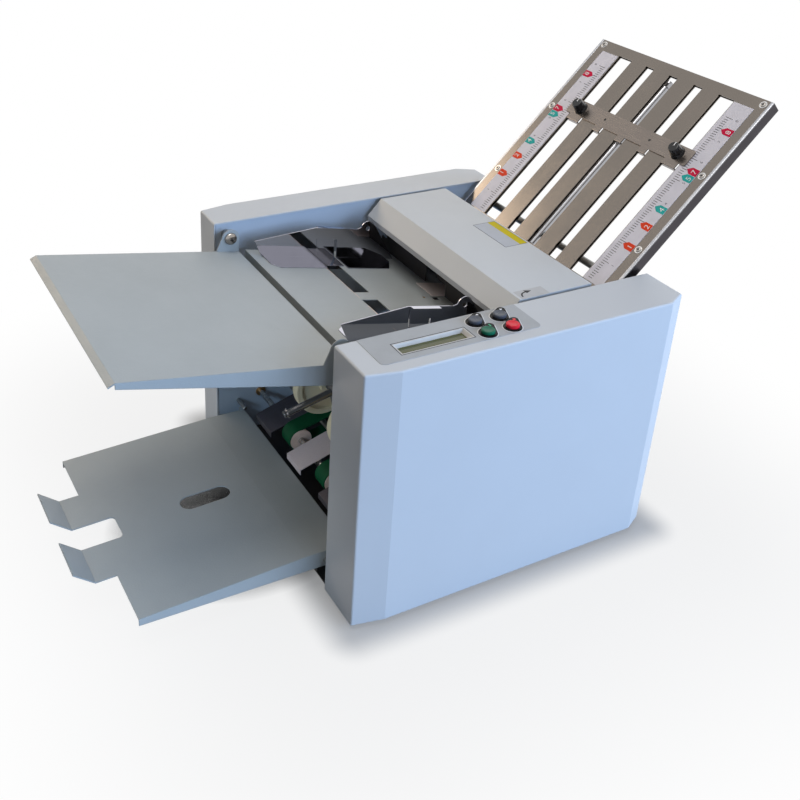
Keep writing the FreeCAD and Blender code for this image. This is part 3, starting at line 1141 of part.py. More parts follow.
def on_plate_two(shape):
    """Place a shape built with -x down the lower plate from its nip, z off its rear face."""
    turned = shape.copy()
    turned.rotate(V(0, 0, 0), V(1, 0, 0), 180)
    return on_slope(turned, NIP_TWO, NIP_TILT + 90)


def fold_plate_two():
    """Lower fold plate behind the rollers, built in the same way, with its own stop."""
    half = PLATE_GAP / 2
    start, end = PLATE_TWO_RUN
    low = -half - PLATE_SHEET
    sheets = [slotted_sheet(start, end, PLATE_TWO_HALF_W, z, z + PLATE_SHEET, PLATE_TWO_SLOT)
              for z in (half, low)]
    r0, r1 = PLATE_TWO_RAIL
    side = rail(r0, r1, PLATE_TWO_HALF_W, half + PLATE_SHEET, low, LOWER_RAIL_DEPTH)
    strip = box(-r1, -r0, PLATE_TWO_HALF_W - 8, PLATE_TWO_HALF_W, -half, half)
    pieces = [side, strip, mirrored(side), mirrored(strip)] + sheets
    export("lower_fold_plate", on_plate_two(group(pieces)))
    z_top = half + PLATE_SHEET + REST_GAP
    clamp_low = low - REST_GAP - 2.0
    bore = Part.makeCylinder(STUD_R + RUN_FIT, 2 * LOWER_RAIL_DEPTH,
                             V(-STOP_TWO_PLACE, 0, -LOWER_RAIL_DEPTH))
    bar = stop_bar(STOP_TWO_PLACE, STOP_HALF_L, z_top, low, SLOT_PLACES[1:])
    block = clamp_block(STOP_TWO_PLACE, 0, clamp_low, low, z_top, STOP_TWO_BLOCK)
    export("lower_stop_bar", on_plate_two(group([bar.cut(bore), block.cut(bore)])))
    export("lower_stop_knob", on_plate_two(knob(-STOP_TWO_PLACE, 0, z_top + SHEET_T, clamp_low)))


def report_places():
    """Print the joint places in the machine's own frame, in millimetres."""
    pivot = (TOP_BACK_X - 8, TOP_Z - TOP_PIVOT_DROP)
    places = dict(feed_tray=TRAY_PIVOT, delivery_tray=OUT_PIVOT, top_cover=pivot, feed=FEED_SHAFT,
                  front=FRONT_PULLEY, rear=REAR_PULLEY, motor=MOTOR_AT, axle=AXLE_AT,
                  nip_two=NIP_TWO, **{f"roller_{k}": v for k, v in ROLLERS.items()})
    for name, (x, z) in places.items():
        print(f"{name}: {x + SHIFT.x:.3f} {SHIFT.y:.3f} {z:.3f}")
    for label, (x, y) in zip("abcd", button_places()):
        print(f"button_{label}: {x + SHIFT.x:.3f} {y + SHIFT.y:.3f} {TOP_Z:.3f}")
    iy, iz = INLET_AT
    print(f"rocker: {COVER_L + 1 + SHIFT.x:.3f} {iy + SHIFT.y:.3f} {iz + SWITCH_RISE:.3f}")
    for label, y in (("far", SLOT_PLACES[2][0]), ("near", -SLOT_PLACES[2][0])):
        x, z = plate_point(STOP_PLACE, 10.0)
        print(f"knob_{label}: {x + SHIFT.x:.3f} {y + SHIFT.y:.3f} {z:.3f}")
    low_knob = on_plate_two(Part.Vertex(V(-STOP_TWO_PLACE, 0, 12))).Point
    print(f"knob_lower: {low_knob.x + SHIFT.x:.3f} {SHIFT.y:.3f} {low_knob.z:.3f}")
    print(f"foot: {FOOT_INSET[0] + SHIFT.x:.3f} {-FRAME_OUT - FOOT_INSET[1] + SHIFT.y:.3f} 0.000")
    whole = Part.makeCompound(list(NODES.values())).BoundBox
    print("overall", whole)
    print("nodes", len(NODES))


def main():
    """Build every node."""
    os.makedirs("parts", exist_ok=True)
    side_covers()
    base()
    cross_rods()
    posts = control_panel()
    posts += feed_table()
    export("far_guide", paper_guide(FAR_GUIDE_Y))
    export("near_guide", paper_guide(NEAR_GUIDE_Y))
    screws, spacers = feed_tray()
    posts += spacers
    pins = delivery_tray()
    plates = delivery_deck()
    guide_rods = stacker()
    cover_pins, gate = top_cover()
    feed_roller()
    fold_rollers()
    drive()
    power_entry()
    plate_screws, stop_rod = fold_plate_one()
    fold_stop_one()
    fold_plate_two()
    export("spacer_posts", group(posts))
    export("hinge_pins", group(pins + cover_pins))
    export("pan_head_screws", group(screws + plate_screws))
    export("inner_paper_plates", group(plates + gate))
    export("guide_rods", group(guide_rods + stop_rod))
    report_places()


main()
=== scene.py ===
"""Looks of a desk-top paper folding machine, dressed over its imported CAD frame.

Every length is in metres in the CAD frame: +x runs to the rear fold plate, +y away from the
operator, +z up, with the origin on the table under the middle of the machine.
"""

import logging
import math
from dataclasses import dataclass
from enum import Enum
from typing import Sequence

import bpy
import numpy as np
from mathutils import Matrix, Vector


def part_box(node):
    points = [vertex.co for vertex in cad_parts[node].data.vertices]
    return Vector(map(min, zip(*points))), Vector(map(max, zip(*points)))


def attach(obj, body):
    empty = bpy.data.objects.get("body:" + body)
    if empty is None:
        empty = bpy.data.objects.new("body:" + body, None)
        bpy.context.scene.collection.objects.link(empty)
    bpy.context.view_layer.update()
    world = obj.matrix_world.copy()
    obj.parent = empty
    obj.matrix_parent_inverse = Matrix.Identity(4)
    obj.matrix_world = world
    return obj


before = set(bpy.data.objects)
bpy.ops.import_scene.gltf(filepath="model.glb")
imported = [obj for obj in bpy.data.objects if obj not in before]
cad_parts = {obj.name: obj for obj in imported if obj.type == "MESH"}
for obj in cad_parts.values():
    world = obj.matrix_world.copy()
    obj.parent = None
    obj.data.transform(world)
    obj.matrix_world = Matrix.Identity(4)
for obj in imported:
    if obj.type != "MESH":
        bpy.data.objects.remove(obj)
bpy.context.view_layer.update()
LOG = logging.getLogger("paper_folder")

Colour = tuple[float, float, float]
Point = tuple[float, float, float]
Pair = tuple[float, float]
Socket = bpy.types.NodeSocket
MM = 0.001
BEVEL_SAMPLES = 4
SHAFT_RADIUS = 4.2 * MM
SMOOTH_LIMIT = math.radians(35)
FONT_RATIO = 1.35


# ------------------------------------------------------------------ shader building
class Direction(Enum):
    """Which way a grain runs over a surface."""

    ALONG_X = (1.0, 0.0, 0.0)
    ALONG_Y = (0.0, 1.0, 0.0)
    UP_PLATE = (math.sqrt(0.5), 0.0, math.sqrt(0.5))


class NodeBench:
    """A node tree under construction."""

    def __init__(self, tree: bpy.types.NodeTree) -> None:
        """Start on a tree by emptying it."""
        self.tree = tree
        tree.nodes.clear()

    def feed(self, socket: Socket, value: object) -> None:
        """Put a constant on a socket, or link another socket to it.

        Args:
            socket: the input to fill.
            value: a number, a colour or an output socket.
        """
        if isinstance(value, Socket):
            self.tree.links.new(value, socket)
        else:
            socket.default_value = value

    def node(self, kind: str, **inputs: object) -> bpy.types.Node:
        """Add a node.

        Args:
            kind: its type, without ShaderNode in front.
            inputs: a constant or a socket for each input, with _ for a space in its name.

        Returns:
            The new node.
        """
        node = self.tree.nodes.new(f"ShaderNode{kind}")
        for name, value in inputs.items():
            self.feed(node.inputs[name.replace("_", " ")], value)
        return node

    def compute(self, operation: str, first: object, second: object = 0.0) -> Socket:
        """One step of arithmetic.

        Args:
            operation: name of the Math node's operation.
            first: number or socket.
            second: number or socket.

        Returns:
            The result.
        """
        node = self.node("Math")
        node.operation = operation
        for socket, value in zip(node.inputs, (first, second)):
            self.feed(socket, value)
        return node.outputs["Value"]

    def place_parts(self) -> bpy.types.bpy_prop_collection:
        """The Object coordinates taken apart, as outputs X, Y and Z."""
        whole = self.node("TexCoord").outputs["Object"]
        return self.node("SeparateXYZ", Vector=whole).outputs

    def seen_rays(self) -> Socket:
        """1 for rays of the camera, of mirrors and of glass, and 0 for light."""
        path = self.node("LightPath").outputs
        seen = self.compute("MAXIMUM", path["Is Camera Ray"], path["Is Glossy Ray"])
        return self.compute("MAXIMUM", seen, path["Is Transmission Ray"])

    def blend_shaders(self, share: Socket, first: Socket, second: Socket, output: str) -> None:
        """Mix two shaders into the tree's output.

        Args:
            share: share of the second shader.
            first: shader at share 0.
            second: shader at share 1.
            output: kind of the output node.
        """
        mix = self.node("MixShader", Fac=share)
        self.feed(mix.inputs[1], first)
        self.feed(mix.inputs[2], second)
        self.node(output, Surface=mix.outputs["Shader"])


class ShaderBench(NodeBench):
    """A material under construction: one Principled shader and the nodes that feed it."""

    def __init__(self, name: str) -> None:
        """Start a node material with a name."""
        self.material = bpy.data.materials.new(name)
        self.material.use_nodes = True
        super().__init__(self.material.node_tree)
        self.shader = self.node("BsdfPrincipled")
        self.node("OutputMaterial", Surface=self.shader.outputs["BSDF"])

    def wear(self, **looks: object) -> bpy.types.Material:
        """Fill the shader's own sockets, with _ for a space, and give the material."""
        for name, value in looks.items():
            self.feed(self.shader.inputs[name.replace("_", " ")], value)
        return self.material

    def coordinates(self, scale: Point = (1, 1, 1), turn: Point = (0, 0, 0),
                    offset: Point = (0, 0, 0)) -> Socket:
        """Object coordinates through a Mapping node.

        Args:
            scale: factor on each axis.
            turn: rotation in radians about each axis.
            offset: shift after the rotation.

        Returns:
            The vector socket.
        """
        whole = self.node("TexCoord").outputs["Object"]
        mapping = self.node("Mapping", Vector=whole, Scale=scale, Rotation=turn, Location=offset)
        return mapping.outputs["Vector"]

    def noise(self, vector: Socket, scale: float, detail: float = 3.0,
              roughness: float = 0.5) -> Socket:
        """Fractal noise over a vector.

        Args:
            vector: where the noise is read.
            scale: waves per metre.
            detail: number of octaves.
            roughness: share that each finer octave keeps.

        Returns:
            The noise value from 0 to 1.
        """
        return self.node("TexNoise", Vector=vector, Scale=scale, Detail=detail,
                         Roughness=roughness).outputs["Fac"]

    def toned(self, value: Socket, colour: Colour, amount: float, start: float = 0.3,
              end: float = 0.7) -> Socket:
        """A colour that goes from slightly darker to slightly lighter as a value rises.

        Args:
            value: the value that picks the tone.
            colour: the colour between.
            amount: share by which the tones differ from it.
            start: value of the darker tone.
            end: value of the lighter tone.

        Returns:
            The colour socket.
        """
        node = self.node("ValToRGB", Fac=value)
        for element, place, factor in zip(node.color_ramp.elements, (start, end),
                                          (1 - amount, 1 + amount)):
            element.position = place
            element.color = (*(min(1.0, channel * factor) for channel in colour), 1.0)
        return node.outputs["Color"]

    def spread(self, value: Socket, low: float, high: float, start: float = 0.3,
               end: float = 0.7) -> Socket:
        """Move a value's range to new limits.

        Args:
            value: the value to spread.
            low: result at the start.
            high: result at the end.
            start: value that gives low.
            end: value that gives high.

        Returns:
            The spread value.
        """
        return self.node("MapRange", Value=value, From_Min=start, From_Max=end, To_Min=low,
                         To_Max=high).outputs["Result"]

    def mix(self, share: object, first: object, second: object) -> Socket:
        """Blend two colours.

        Args:
            share: share of the second colour.
            first: colour or socket at share 0.
            second: colour or socket at share 1.

        Returns:
            The blended colour.
        """
        node = self.node("Mix")
        node.data_type = "RGBA"
        self.feed(node.inputs["Factor"], share)
        for name, value in (("A", first), ("B", second)):
            socket = [s for s in node.inputs if s.name == name and s.type == "RGBA"][0]
            self.feed(socket, (*value, 1.0) if isinstance(value, tuple) else value)
        return [s for s in node.outputs if s.type == "RGBA"][0]

    def rounded(self, edge: float) -> Socket:
        """A normal that makes sharp edges look rounded to a radius in metres."""
        bevel = self.node("Bevel", Radius=edge)
        bevel.samples = BEVEL_SAMPLES
        return bevel.outputs["Normal"]

    def relief(self, height: Socket, depth: float, edge: float = 0.0) -> Socket:
        """A normal that raises the surface by a height pattern.

        Args:
            height: pattern from 0 to 1.
            depth: height of the pattern in metres.
            edge: radius of the rounded look of sharp edges, in metres.

        Returns:
            The normal.
        """
        bump = self.node("Bump", Strength=1.0, Distance=depth, Height=height)
        if edge > 0:
            self.feed(bump.inputs["Normal"], self.rounded(edge))
        return bump.outputs["Normal"]

    def inside_radius(self, centre: Point, radius: float) -> Socket:
        """1 within a radius of the axis along y through a centre, and 0 outside it."""
        length = self.node("VectorMath")
        length.operation = "LENGTH"
        offset = (-centre[0], 0, -centre[2])
        self.feed(length.inputs[0], self.coordinates(scale=(1, 0, 1), offset=offset))
        return self.compute("LESS_THAN", length.outputs["Value"], radius)

    def within(self, axis: str, centre: float, half: float) -> Socket:
        """1 where a coordinate lies at most half a band's width from its centre, else 0."""
        away = self.compute("SUBTRACT", self.place_parts()[axis], centre)
        return self.compute("LESS_THAN", self.compute("ABSOLUTE", away), half)


# ------------------------------------------------------------------ finishes
@dataclass(frozen=True)
class PaintFinish:
    """Stove enamel or powder coat on sheet steel."""

    name: str
    colour: Colour
    roughness: float = 0.42
    grain: float = 0.02 * MM
    grain_scale: float = 900.0
    mottle: float = 0.025
    edge: float = 0.6 * MM

    def build(self) -> bpy.types.Material:
        """Uneven colour from soft noise, orange-peel relief from fine noise, rounded edges."""
        bench = ShaderBench(self.name)
        place = bench.coordinates()
        cloud = bench.noise(place, 9.0, 4.0, 0.6)
        smear = bench.noise(place, 35.0, 4.0, 0.65)
        peel = bench.noise(place, self.grain_scale, 2.0)
        return bench.wear(
            Base_Color=bench.toned(cloud, self.colour, self.mottle, 0.32, 0.68),
            Roughness=bench.spread(smear, self.roughness - 0.05, self.roughness + 0.06),
            Normal=bench.relief(peel, self.grain, self.edge), Specular_IOR_Level=0.35)


@dataclass(frozen=True)
class BrushedFinish:
    """Rolled or brushed stainless steel with streaks along one direction."""

    name: str
    colour: Colour
    roughness: float = 0.3
    along: Direction = Direction.ALONG_X
    contrast: float = 0.12
    edge: float = 0.3 * MM

    def build(self) -> bpy.types.Material:
        """Noise stretched thirty to one along the grain tints the metal and sets its gloss."""
        bench = ShaderBench(self.name)
        tilt = math.atan2(self.along.value[2], self.along.value[0])
        stretch = (40, 1.3, 40) if self.along is Direction.ALONG_Y else (1.3, 40, 40)
        lines = bench.noise(bench.coordinates(stretch, (0, tilt, 0)), 28.0, 4.0, 0.6)
        smudge = bench.noise(bench.coordinates(), 14.0, 4.0, 0.6)
        gloss = bench.spread(smudge, self.roughness - 0.03, self.roughness + 0.05)
        return bench.wear(
            Base_Color=bench.toned(lines, self.colour, self.contrast),
            Roughness=bench.compute("ADD", bench.spread(lines, -0.04, 0.05), gloss),
            Normal=bench.rounded(self.edge), Metallic=1.0)


@dataclass(frozen=True)
class RailPaintedHighlightFinish:
    """Rolled steel channel with painted light: the outward lip's bright colour is a painted
    highlight and the web's dark colour is painted shade.
    """

    name: str
    web: Colour
    lip: Colour
    outward: Point
    edge: float = 1.8 * MM

    def build(self) -> bpy.types.Material:
        """The rounded normal's share of the outward direction blends the web's painted shade into
        the lip's painted highlight.
        """
        bench = ShaderBench(self.name)
        normal = bench.rounded(self.edge)
        facing = bench.node("VectorMath")
        facing.operation = "DOT_PRODUCT"
        bench.feed(facing.inputs[0], normal)
        bench.feed(facing.inputs[1], self.outward)
        share = bench.spread(facing.outputs["Value"], 0.0, 1.0, 0.12, 0.6)
        grain = bench.noise(bench.coordinates((1.5, 40, 1.5)), 20.0, 4.0, 0.6)
        smear = bench.noise(bench.coordinates(), 18.0, 4.0, 0.6)
        return bench.wear(
            Base_Color=bench.mix(share, bench.toned(grain, self.web, 0.12), self.lip),
            Roughness=bench.spread(smear, 0.22, 0.32), Normal=normal, Metallic=1.0)


@dataclass(frozen=True)
class GuidePaintedLightFinish:
    """Satin steel guides with painted light: the middle one is pale, a painted reflection of
    light, and the others dark, painted shade.
    """

    name: str
    dull: Colour
    pale: Colour
    middle: float
    half: float

    def build(self) -> bpy.types.Material:
        """A band about the centre line takes the pale colour, a painted reflection of light, under
        a fine grain along x.
        """
        bench = ShaderBench(self.name)
        grain = bench.noise(bench.coordinates((1.5, 40, 40)), 26.0, 4.0, 0.6)
        band = bench.within("Y", self.middle, self.half)
        lit_band_plainness = bench.compute("MULTIPLY", band, 0.75)
        return bench.wear(
            Base_Color=bench.mix(band, bench.toned(grain, self.dull, 0.10),
                                 bench.toned(grain, self.pale, 0.05)),
            Metallic=bench.compute("SUBTRACT", 0.9, lit_band_plainness),
            Roughness=bench.spread(grain, 0.30, 0.42), Normal=bench.rounded(0.3 * MM))


@dataclass(frozen=True)
class PolishedFinish:
    """Bright or mirror-polished steel with faint handling marks."""

    name: str
    colour: Colour
    roughness: float = 0.06
    smudges: float = 0.05
    edge: float = 0.2 * MM

    def build(self) -> bpy.types.Material:
        """Clear metal whose gloss is dulled a little by broad smudges."""
        bench = ShaderBench(self.name)
        smear = bench.noise(bench.coordinates(), 22.0, 5.0, 0.65)
        return bench.wear(
            Base_Color=bench.toned(smear, self.colour, 0.03, 0.35, 0.7),
            Roughness=bench.spread(smear, self.roughness, self.roughness + self.smudges),
            Normal=bench.rounded(self.edge), Metallic=1.0)


@dataclass(frozen=True)
class MouldedFinish:
    """Moulded plastic or printed film."""

    name: str
    colour: Colour
    roughness: float = 0.45
    grain: float = 0.01 * MM
    grain_scale: float = 1600.0
    coat: float = 0.0
    edge: float = 0.3 * MM
    specular: float = 0.4

    def build(self) -> bpy.types.Material:
        """Fine spark-eroded grain, with flow marks that vary colour and gloss a little."""
        bench = ShaderBench(self.name)
        place = bench.coordinates()
        flow = bench.noise(place, 60.0, 3.0, 0.55)
        grain = bench.noise(place, self.grain_scale, 2.0)
        glossiest = max(0.03, self.roughness - 0.04)
        return bench.wear(
            Base_Color=bench.toned(flow, self.colour, 0.05),
            Roughness=bench.spread(flow, glossiest, self.roughness + 0.05),
            Normal=bench.relief(grain, self.grain, self.edge),
            Coat_Weight=self.coat, Coat_Roughness=0.06, Specular_IOR_Level=self.specular)


@dataclass(frozen=True)
class RubberFinish:
    """Rubber, ground or moulded, with a dusty bloom in its pores."""

    name: str
    colour: Colour
    bloom: Colour
    roughness: float = 0.75
    pores: float = 0.05 * MM
    pore_scale: float = 700.0

    def build(self) -> bpy.types.Material:
        """Fine noise makes pores, and slow noise spreads pale bloom over them."""
        bench = ShaderBench(self.name)
        place = bench.coordinates()
        pores = bench.noise(place, self.pore_scale, 3.0, 0.6)
        dust = bench.noise(place, 40.0, 4.0, 0.6)
        share = bench.compute("MULTIPLY", bench.spread(dust, 0.0, 0.5),
                              bench.spread(pores, 0.2, 1.0))
        return bench.wear(
            Base_Color=bench.mix(share, self.colour, self.bloom),
            Roughness=bench.spread(dust, self.roughness - 0.08, self.roughness + 0.1),
            Normal=bench.relief(pores, self.pores, 0.4 * MM))


@dataclass(frozen=True)
class WovenBeltFinish:
    """Flat conveyor belt: a coloured cover with the weave of its fabric showing faintly."""

    name: str
    colour: Colour
    thread: float = 0.7 * MM

    def build(self) -> bpy.types.Material:
        """Two crossed waves give the weave, and noise scuffs the cover."""
        bench = ShaderBench(self.name)
        place = bench.coordinates()
        waves = []
        for axis in ("X", "Y"):
            wave = bench.node("TexWave", Vector=place, Scale=0.1 / self.thread)
            wave.bands_direction = axis
            waves.append(wave.outputs["Fac"])
        scuff = bench.noise(place, 50.0, 5.0, 0.7)
        return bench.wear(
            Base_Color=bench.toned(scuff, self.colour, 0.22, 0.3, 0.75),
            Roughness=bench.spread(scuff, 0.55, 0.7), Specular_IOR_Level=0.12,
            Normal=bench.relief(bench.compute("MULTIPLY", *waves), 0.03 * MM))


@dataclass(frozen=True)
class TurnedPartFinish:
    """A steel shaft with a sleeve of another stuff on it, told apart by the radius."""

    name: str
    axis_point: Point
    shaft: Colour
    sleeve: Colour
    roughness: float = 0.6

    def build(self) -> bpy.types.Material:
        """Inside the shaft's radius the colour is bare steel, and outside it the sleeve's."""
        bench = ShaderBench(self.name)
        mask = bench.inside_radius(self.axis_point, SHAFT_RADIUS)
        rings = bench.noise(bench.coordinates((1, 12, 1)), 90.0, 3.0, 0.6)
        plain = bench.spread(rings, self.roughness - 0.06, self.roughness + 0.06)
        metal_cut = bench.compute("MULTIPLY", mask, self.roughness - 0.26)
        return bench.wear(
            Base_Color=bench.mix(mask, bench.toned(rings, self.sleeve, 0.12), self.shaft),
            Metallic=mask, Roughness=bench.compute("SUBTRACT", plain, metal_cut),
            Normal=bench.relief(rings, 0.02 * MM, 0.3 * MM))


@dataclass(frozen=True)
class CharacterDisplayFinish:
    """Unlit reflective display: olive field with two rows of faint character cells."""

    name: str
    field_colour: Colour
    cell_colour: Colour
    cell: Pair = (3.2 * MM, 6.4 * MM)

    def build(self) -> bpy.types.Material:
        """A brick pattern without offset draws the cells, under a clear glossy coat."""
        bench = ShaderBench(self.name)
        cell = (*self.cell_colour, 1.0)
        brick = bench.node("TexBrick", Vector=bench.coordinates(), Scale=1.0,
                           Brick_Width=self.cell[0], Row_Height=self.cell[1],
                           Mortar_Size=0.35 * MM, Mortar_Smooth=0.2, Color1=cell, Color2=cell,
                           Mortar=(*self.field_colour, 1.0))
        brick.offset = 0.0
        sheen = bench.noise(bench.coordinates(), 30.0, 2.0)
        shade = bench.spread(sheen, 0.0, 0.35)
        return bench.wear(
            Base_Color=bench.mix(shade, brick.outputs["Color"], self.field_colour),
            Roughness=bench.spread(sheen, 0.12, 0.2),
            Coat_Weight=0.15, Coat_Roughness=0.03, Specular_IOR_Level=0.25)


ACROSS = Direction.ALONG_Y
COVER_PAINT = PaintFinish("cover_paint", (0.500, 0.515, 0.530), 0.40, 0.008 * MM, 700.0, 0.012,
                          1.2 * MM)
TOP_PAINT = PaintFinish("top_cover_paint", (0.490, 0.505, 0.515), 0.42, 0.010 * MM, 800.0, 0.015,
                        0.8 * MM)
FRAME_PAINT = PaintFinish("frame_paint", (0.430, 0.480, 0.540), 0.45, 0.012 * MM, 800.0, 0.03,
                          0.5 * MM)
TRAY_PAINT = PaintFinish("tray_powder_coat", (0.330, 0.352, 0.352), 0.40, 0.160 * MM, 520.0,
                         0.035, 1.4 * MM)
BLACK_PAINT = PaintFinish("satin_black", (0.020, 0.018, 0.018), 0.5, mottle=0.2, edge=0.4 * MM)
MOTOR_PAINT = PaintFinish("motor_enamel", (0.02, 0.02, 0.022), 0.4, mottle=0.2, edge=0.8 * MM)
PLATE_STEEL = BrushedFinish("plate_stainless", (0.200, 0.176, 0.155), 0.17, Direction.UP_PLATE,
                            0.05)
STOP_STEEL = BrushedFinish("stop_stainless", (0.205, 0.178, 0.160), 0.24, ACROSS, 0.05)
# Rail colours: the dark web colour is painted shade and the bright lip colour is a painted
# highlight.
RAIL_PAINTED_HIGHLIGHT = RailPaintedHighlightFinish("rail_stainless_painted_highlight", (0.075, 0.070, 0.078), (0.40, 0.41, 0.44),
                              (-math.sqrt(0.5), 0.0, math.sqrt(0.5)))
ZINC_STEEL = BrushedFinish("zinc_plated", (0.34, 0.34, 0.33), 0.34, ACROSS)
SCREW_STEEL = BrushedFinish("screw_zinc", (0.60, 0.60, 0.60), 0.22, ACROSS, 0.05)
CUT_EDGE = BrushedFinish("cut_edge", (0.66, 0.52, 0.44), 0.45, ACROSS)
BRONZE = BrushedFinish("sintered_bronze", (0.42, 0.27, 0.13), 0.4, ACROSS)
MIRROR_STEEL = PolishedFinish("mirror_steel", (0.43, 0.43, 0.48), 0.03, 0.03)
ROD_STEEL = PolishedFinish("ground_rod", (0.42, 0.42, 0.44), 0.20, 0.06)
NICKEL = PolishedFinish("nickel_screw", (0.34, 0.32, 0.30), 0.16, 0.06)
BLACK_GLOSS = MouldedFinish("black_gloss", (0.004, 0.004, 0.005), 0.16, 0.0, 900.0, specular=0.08)
KNOB_GLOSS = MouldedFinish("knob_gloss", (0.004, 0.004, 0.005), 0.08, 0.0, 900.0, 0.35,
                           specular=0.3)
BLACK_MOULDING = MouldedFinish("black_moulding", (0.012, 0.012, 0.012), 0.22, 0.006 * MM, 1500.0,
                               0.3)
PANEL_FILM = MouldedFinish("panel_film", (0.335, 0.348, 0.360), 0.42, 0.006 * MM, 2200.0,
                           edge=0.1 * MM)
SCALE_FILM = MouldedFinish("scale_film", (0.64, 0.63, 0.70), 0.42, 0.004 * MM, 2000.0,
                           edge=0.1 * MM)
WHITE_FRAME = MouldedFinish("display_frame_white", (0.56, 0.54, 0.51), 0.4)
WHITE_PRINT = MouldedFinish("white_print", (0.80, 0.80, 0.80), 0.5)
SILVER_PRINT = MouldedFinish("silver_print", (0.66, 0.67, 0.68), 0.35)
BLACK_PRINT = MouldedFinish("black_print", (0.012, 0.012, 0.014), 0.5)
BORDER_PRINT = MouldedFinish("border_print", (0.10, 0.10, 0.11), 0.5)
GREY_PRINT = MouldedFinish("grey_print", (0.10, 0.10, 0.13), 0.5)
GREEN_PRINT = MouldedFinish("green_print", (0.02, 0.36, 0.16), 0.4)
RED_PRINT = MouldedFinish("red_print", (0.66, 0.03, 0.03), 0.4)
YELLOW_FILM = MouldedFinish("yellow_film", (0.52, 0.42, 0.004), 0.45, specular=0.1)
PALE_LABEL = MouldedFinish("pale_label", (0.40, 0.42, 0.46), 0.4, specular=0.25)
CLEAR_LABEL = MouldedFinish("silver_label", (0.40, 0.40, 0.40), 0.35)
RED_TAG = MouldedFinish("tag_orange_red", (0.72, 0.050, 0.012), 0.5, specular=0.15)
TEAL_TAG = MouldedFinish("tag_teal", (0.018, 0.37, 0.35), 0.5, specular=0.15)
CRIMSON_TAG = MouldedFinish("tag_crimson", (0.54, 0.004, 0.050), 0.5, specular=0.15)
BOARD_GREEN = MouldedFinish("circuit_board", (0.02, 0.13, 0.05), 0.35)
ACETAL = MouldedFinish("natural_acetal", (0.72, 0.70, 0.62), 0.4)
CARRIAGE_GREY = MouldedFinish("carriage_moulding", (0.075, 0.078, 0.085), 0.45)
GREY_BUTTON = MouldedFinish("button_grey", (0.070, 0.078, 0.095), 0.26, 0.003 * MM, 1200.0,
                            specular=0.2)
GREEN_BUTTON = MouldedFinish("button_green", (0.002, 0.110, 0.058), 0.24, 0.003 * MM, 1200.0,
                             specular=0.2)
RED_BUTTON = MouldedFinish("button_red", (0.640, 0.012, 0.028), 0.24, 0.003 * MM, 1200.0,
                           specular=0.2)
FOOT_RUBBER = RubberFinish("foot_rubber", (0.012, 0.012, 0.012), (0.08, 0.08, 0.08))
BELT_RUBBER = RubberFinish("drive_belt_rubber", (0.012, 0.012, 0.012), (0.05, 0.05, 0.05), 0.7)
FEED_RUBBER = RubberFinish("feed_rubber", (0.045, 0.042, 0.040), (0.12, 0.11, 0.10), 0.7,
                           0.12 * MM, 400.0)
PAD_RUBBER = RubberFinish("pad_rubber", (0.62, 0.53, 0.50), (0.72, 0.66, 0.62), 0.6, 0.04 * MM)
CREAM_RUBBER = RubberFinish("cream_rubber", (0.66, 0.61, 0.43), (0.74, 0.70, 0.56), 0.65,
                            0.03 * MM)
GREEN_BELT = WovenBeltFinish("green_belt", (0.001, 0.060, 0.022))
DISPLAY = CharacterDisplayFinish("display_field", (0.094, 0.100, 0.034), (0.076, 0.082, 0.026))


# ------------------------------------------------------------------ surfaces
SQUARE = np.array([(-1, -1), (1, -1), (1, 1), (-1, 1)])


@dataclass
class Surface:
    """Vertices and faces of a piece while it is worked out."""

    points: np.ndarray
    faces: np.ndarray | list

    def placed(self, matrix: np.ndarray, origin: Sequence[float]) -> "Surface":
        """The surface with its local axes laid along the matrix's columns, at an origin."""
        return Surface(self.points @ matrix.T + np.asarray(origin), self.faces)

    def face_rows(self) -> list:
        """The faces as plain lists of vertex numbers."""
        return self.faces.tolist() if isinstance(self.faces, np.ndarray) else self.faces


def merged(parts: Sequence[Surface]) -> Surface:
    """Several surfaces as one, with every vertex and face."""
    start, faces = 0, []
    for part in parts:
        faces += [[index + start for index in face] for face in part.face_rows()]
        start += len(part.points)
    return Surface(np.vstack([part.points for part in parts]), faces)


def middle_of(node: str) -> Point:
    """Middle of a node's box, which lies on the axis of a turned node."""
    low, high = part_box(node)
    return tuple((low + high) / 2)


def plan(node: str) -> tuple[np.ndarray, np.ndarray, float]:
    """Middle and size of a node's box in x and y, and the height of its top."""
    low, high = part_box(node)
    low_xy, high_xy = np.array(low)[:2], np.array(high)[:2]
    return (low_xy + high_xy) / 2, high_xy - low_xy, high.z


def on_circle(angles: np.ndarray) -> np.ndarray:
    """Points (cos a, sin a) of the unit circle."""
    return np.column_stack([np.cos(angles), np.sin(angles)])


def circle(steps: int) -> np.ndarray:
    """Evenly spaced points of the unit circle, anticlockwise."""
    return on_circle(np.linspace(0, 2 * np.pi, steps, endpoint=False))


def raised(outline: np.ndarray, height: float) -> np.ndarray:
    """The points of a flat outline at a height."""
    return np.column_stack([outline, np.full(len(outline), height)])


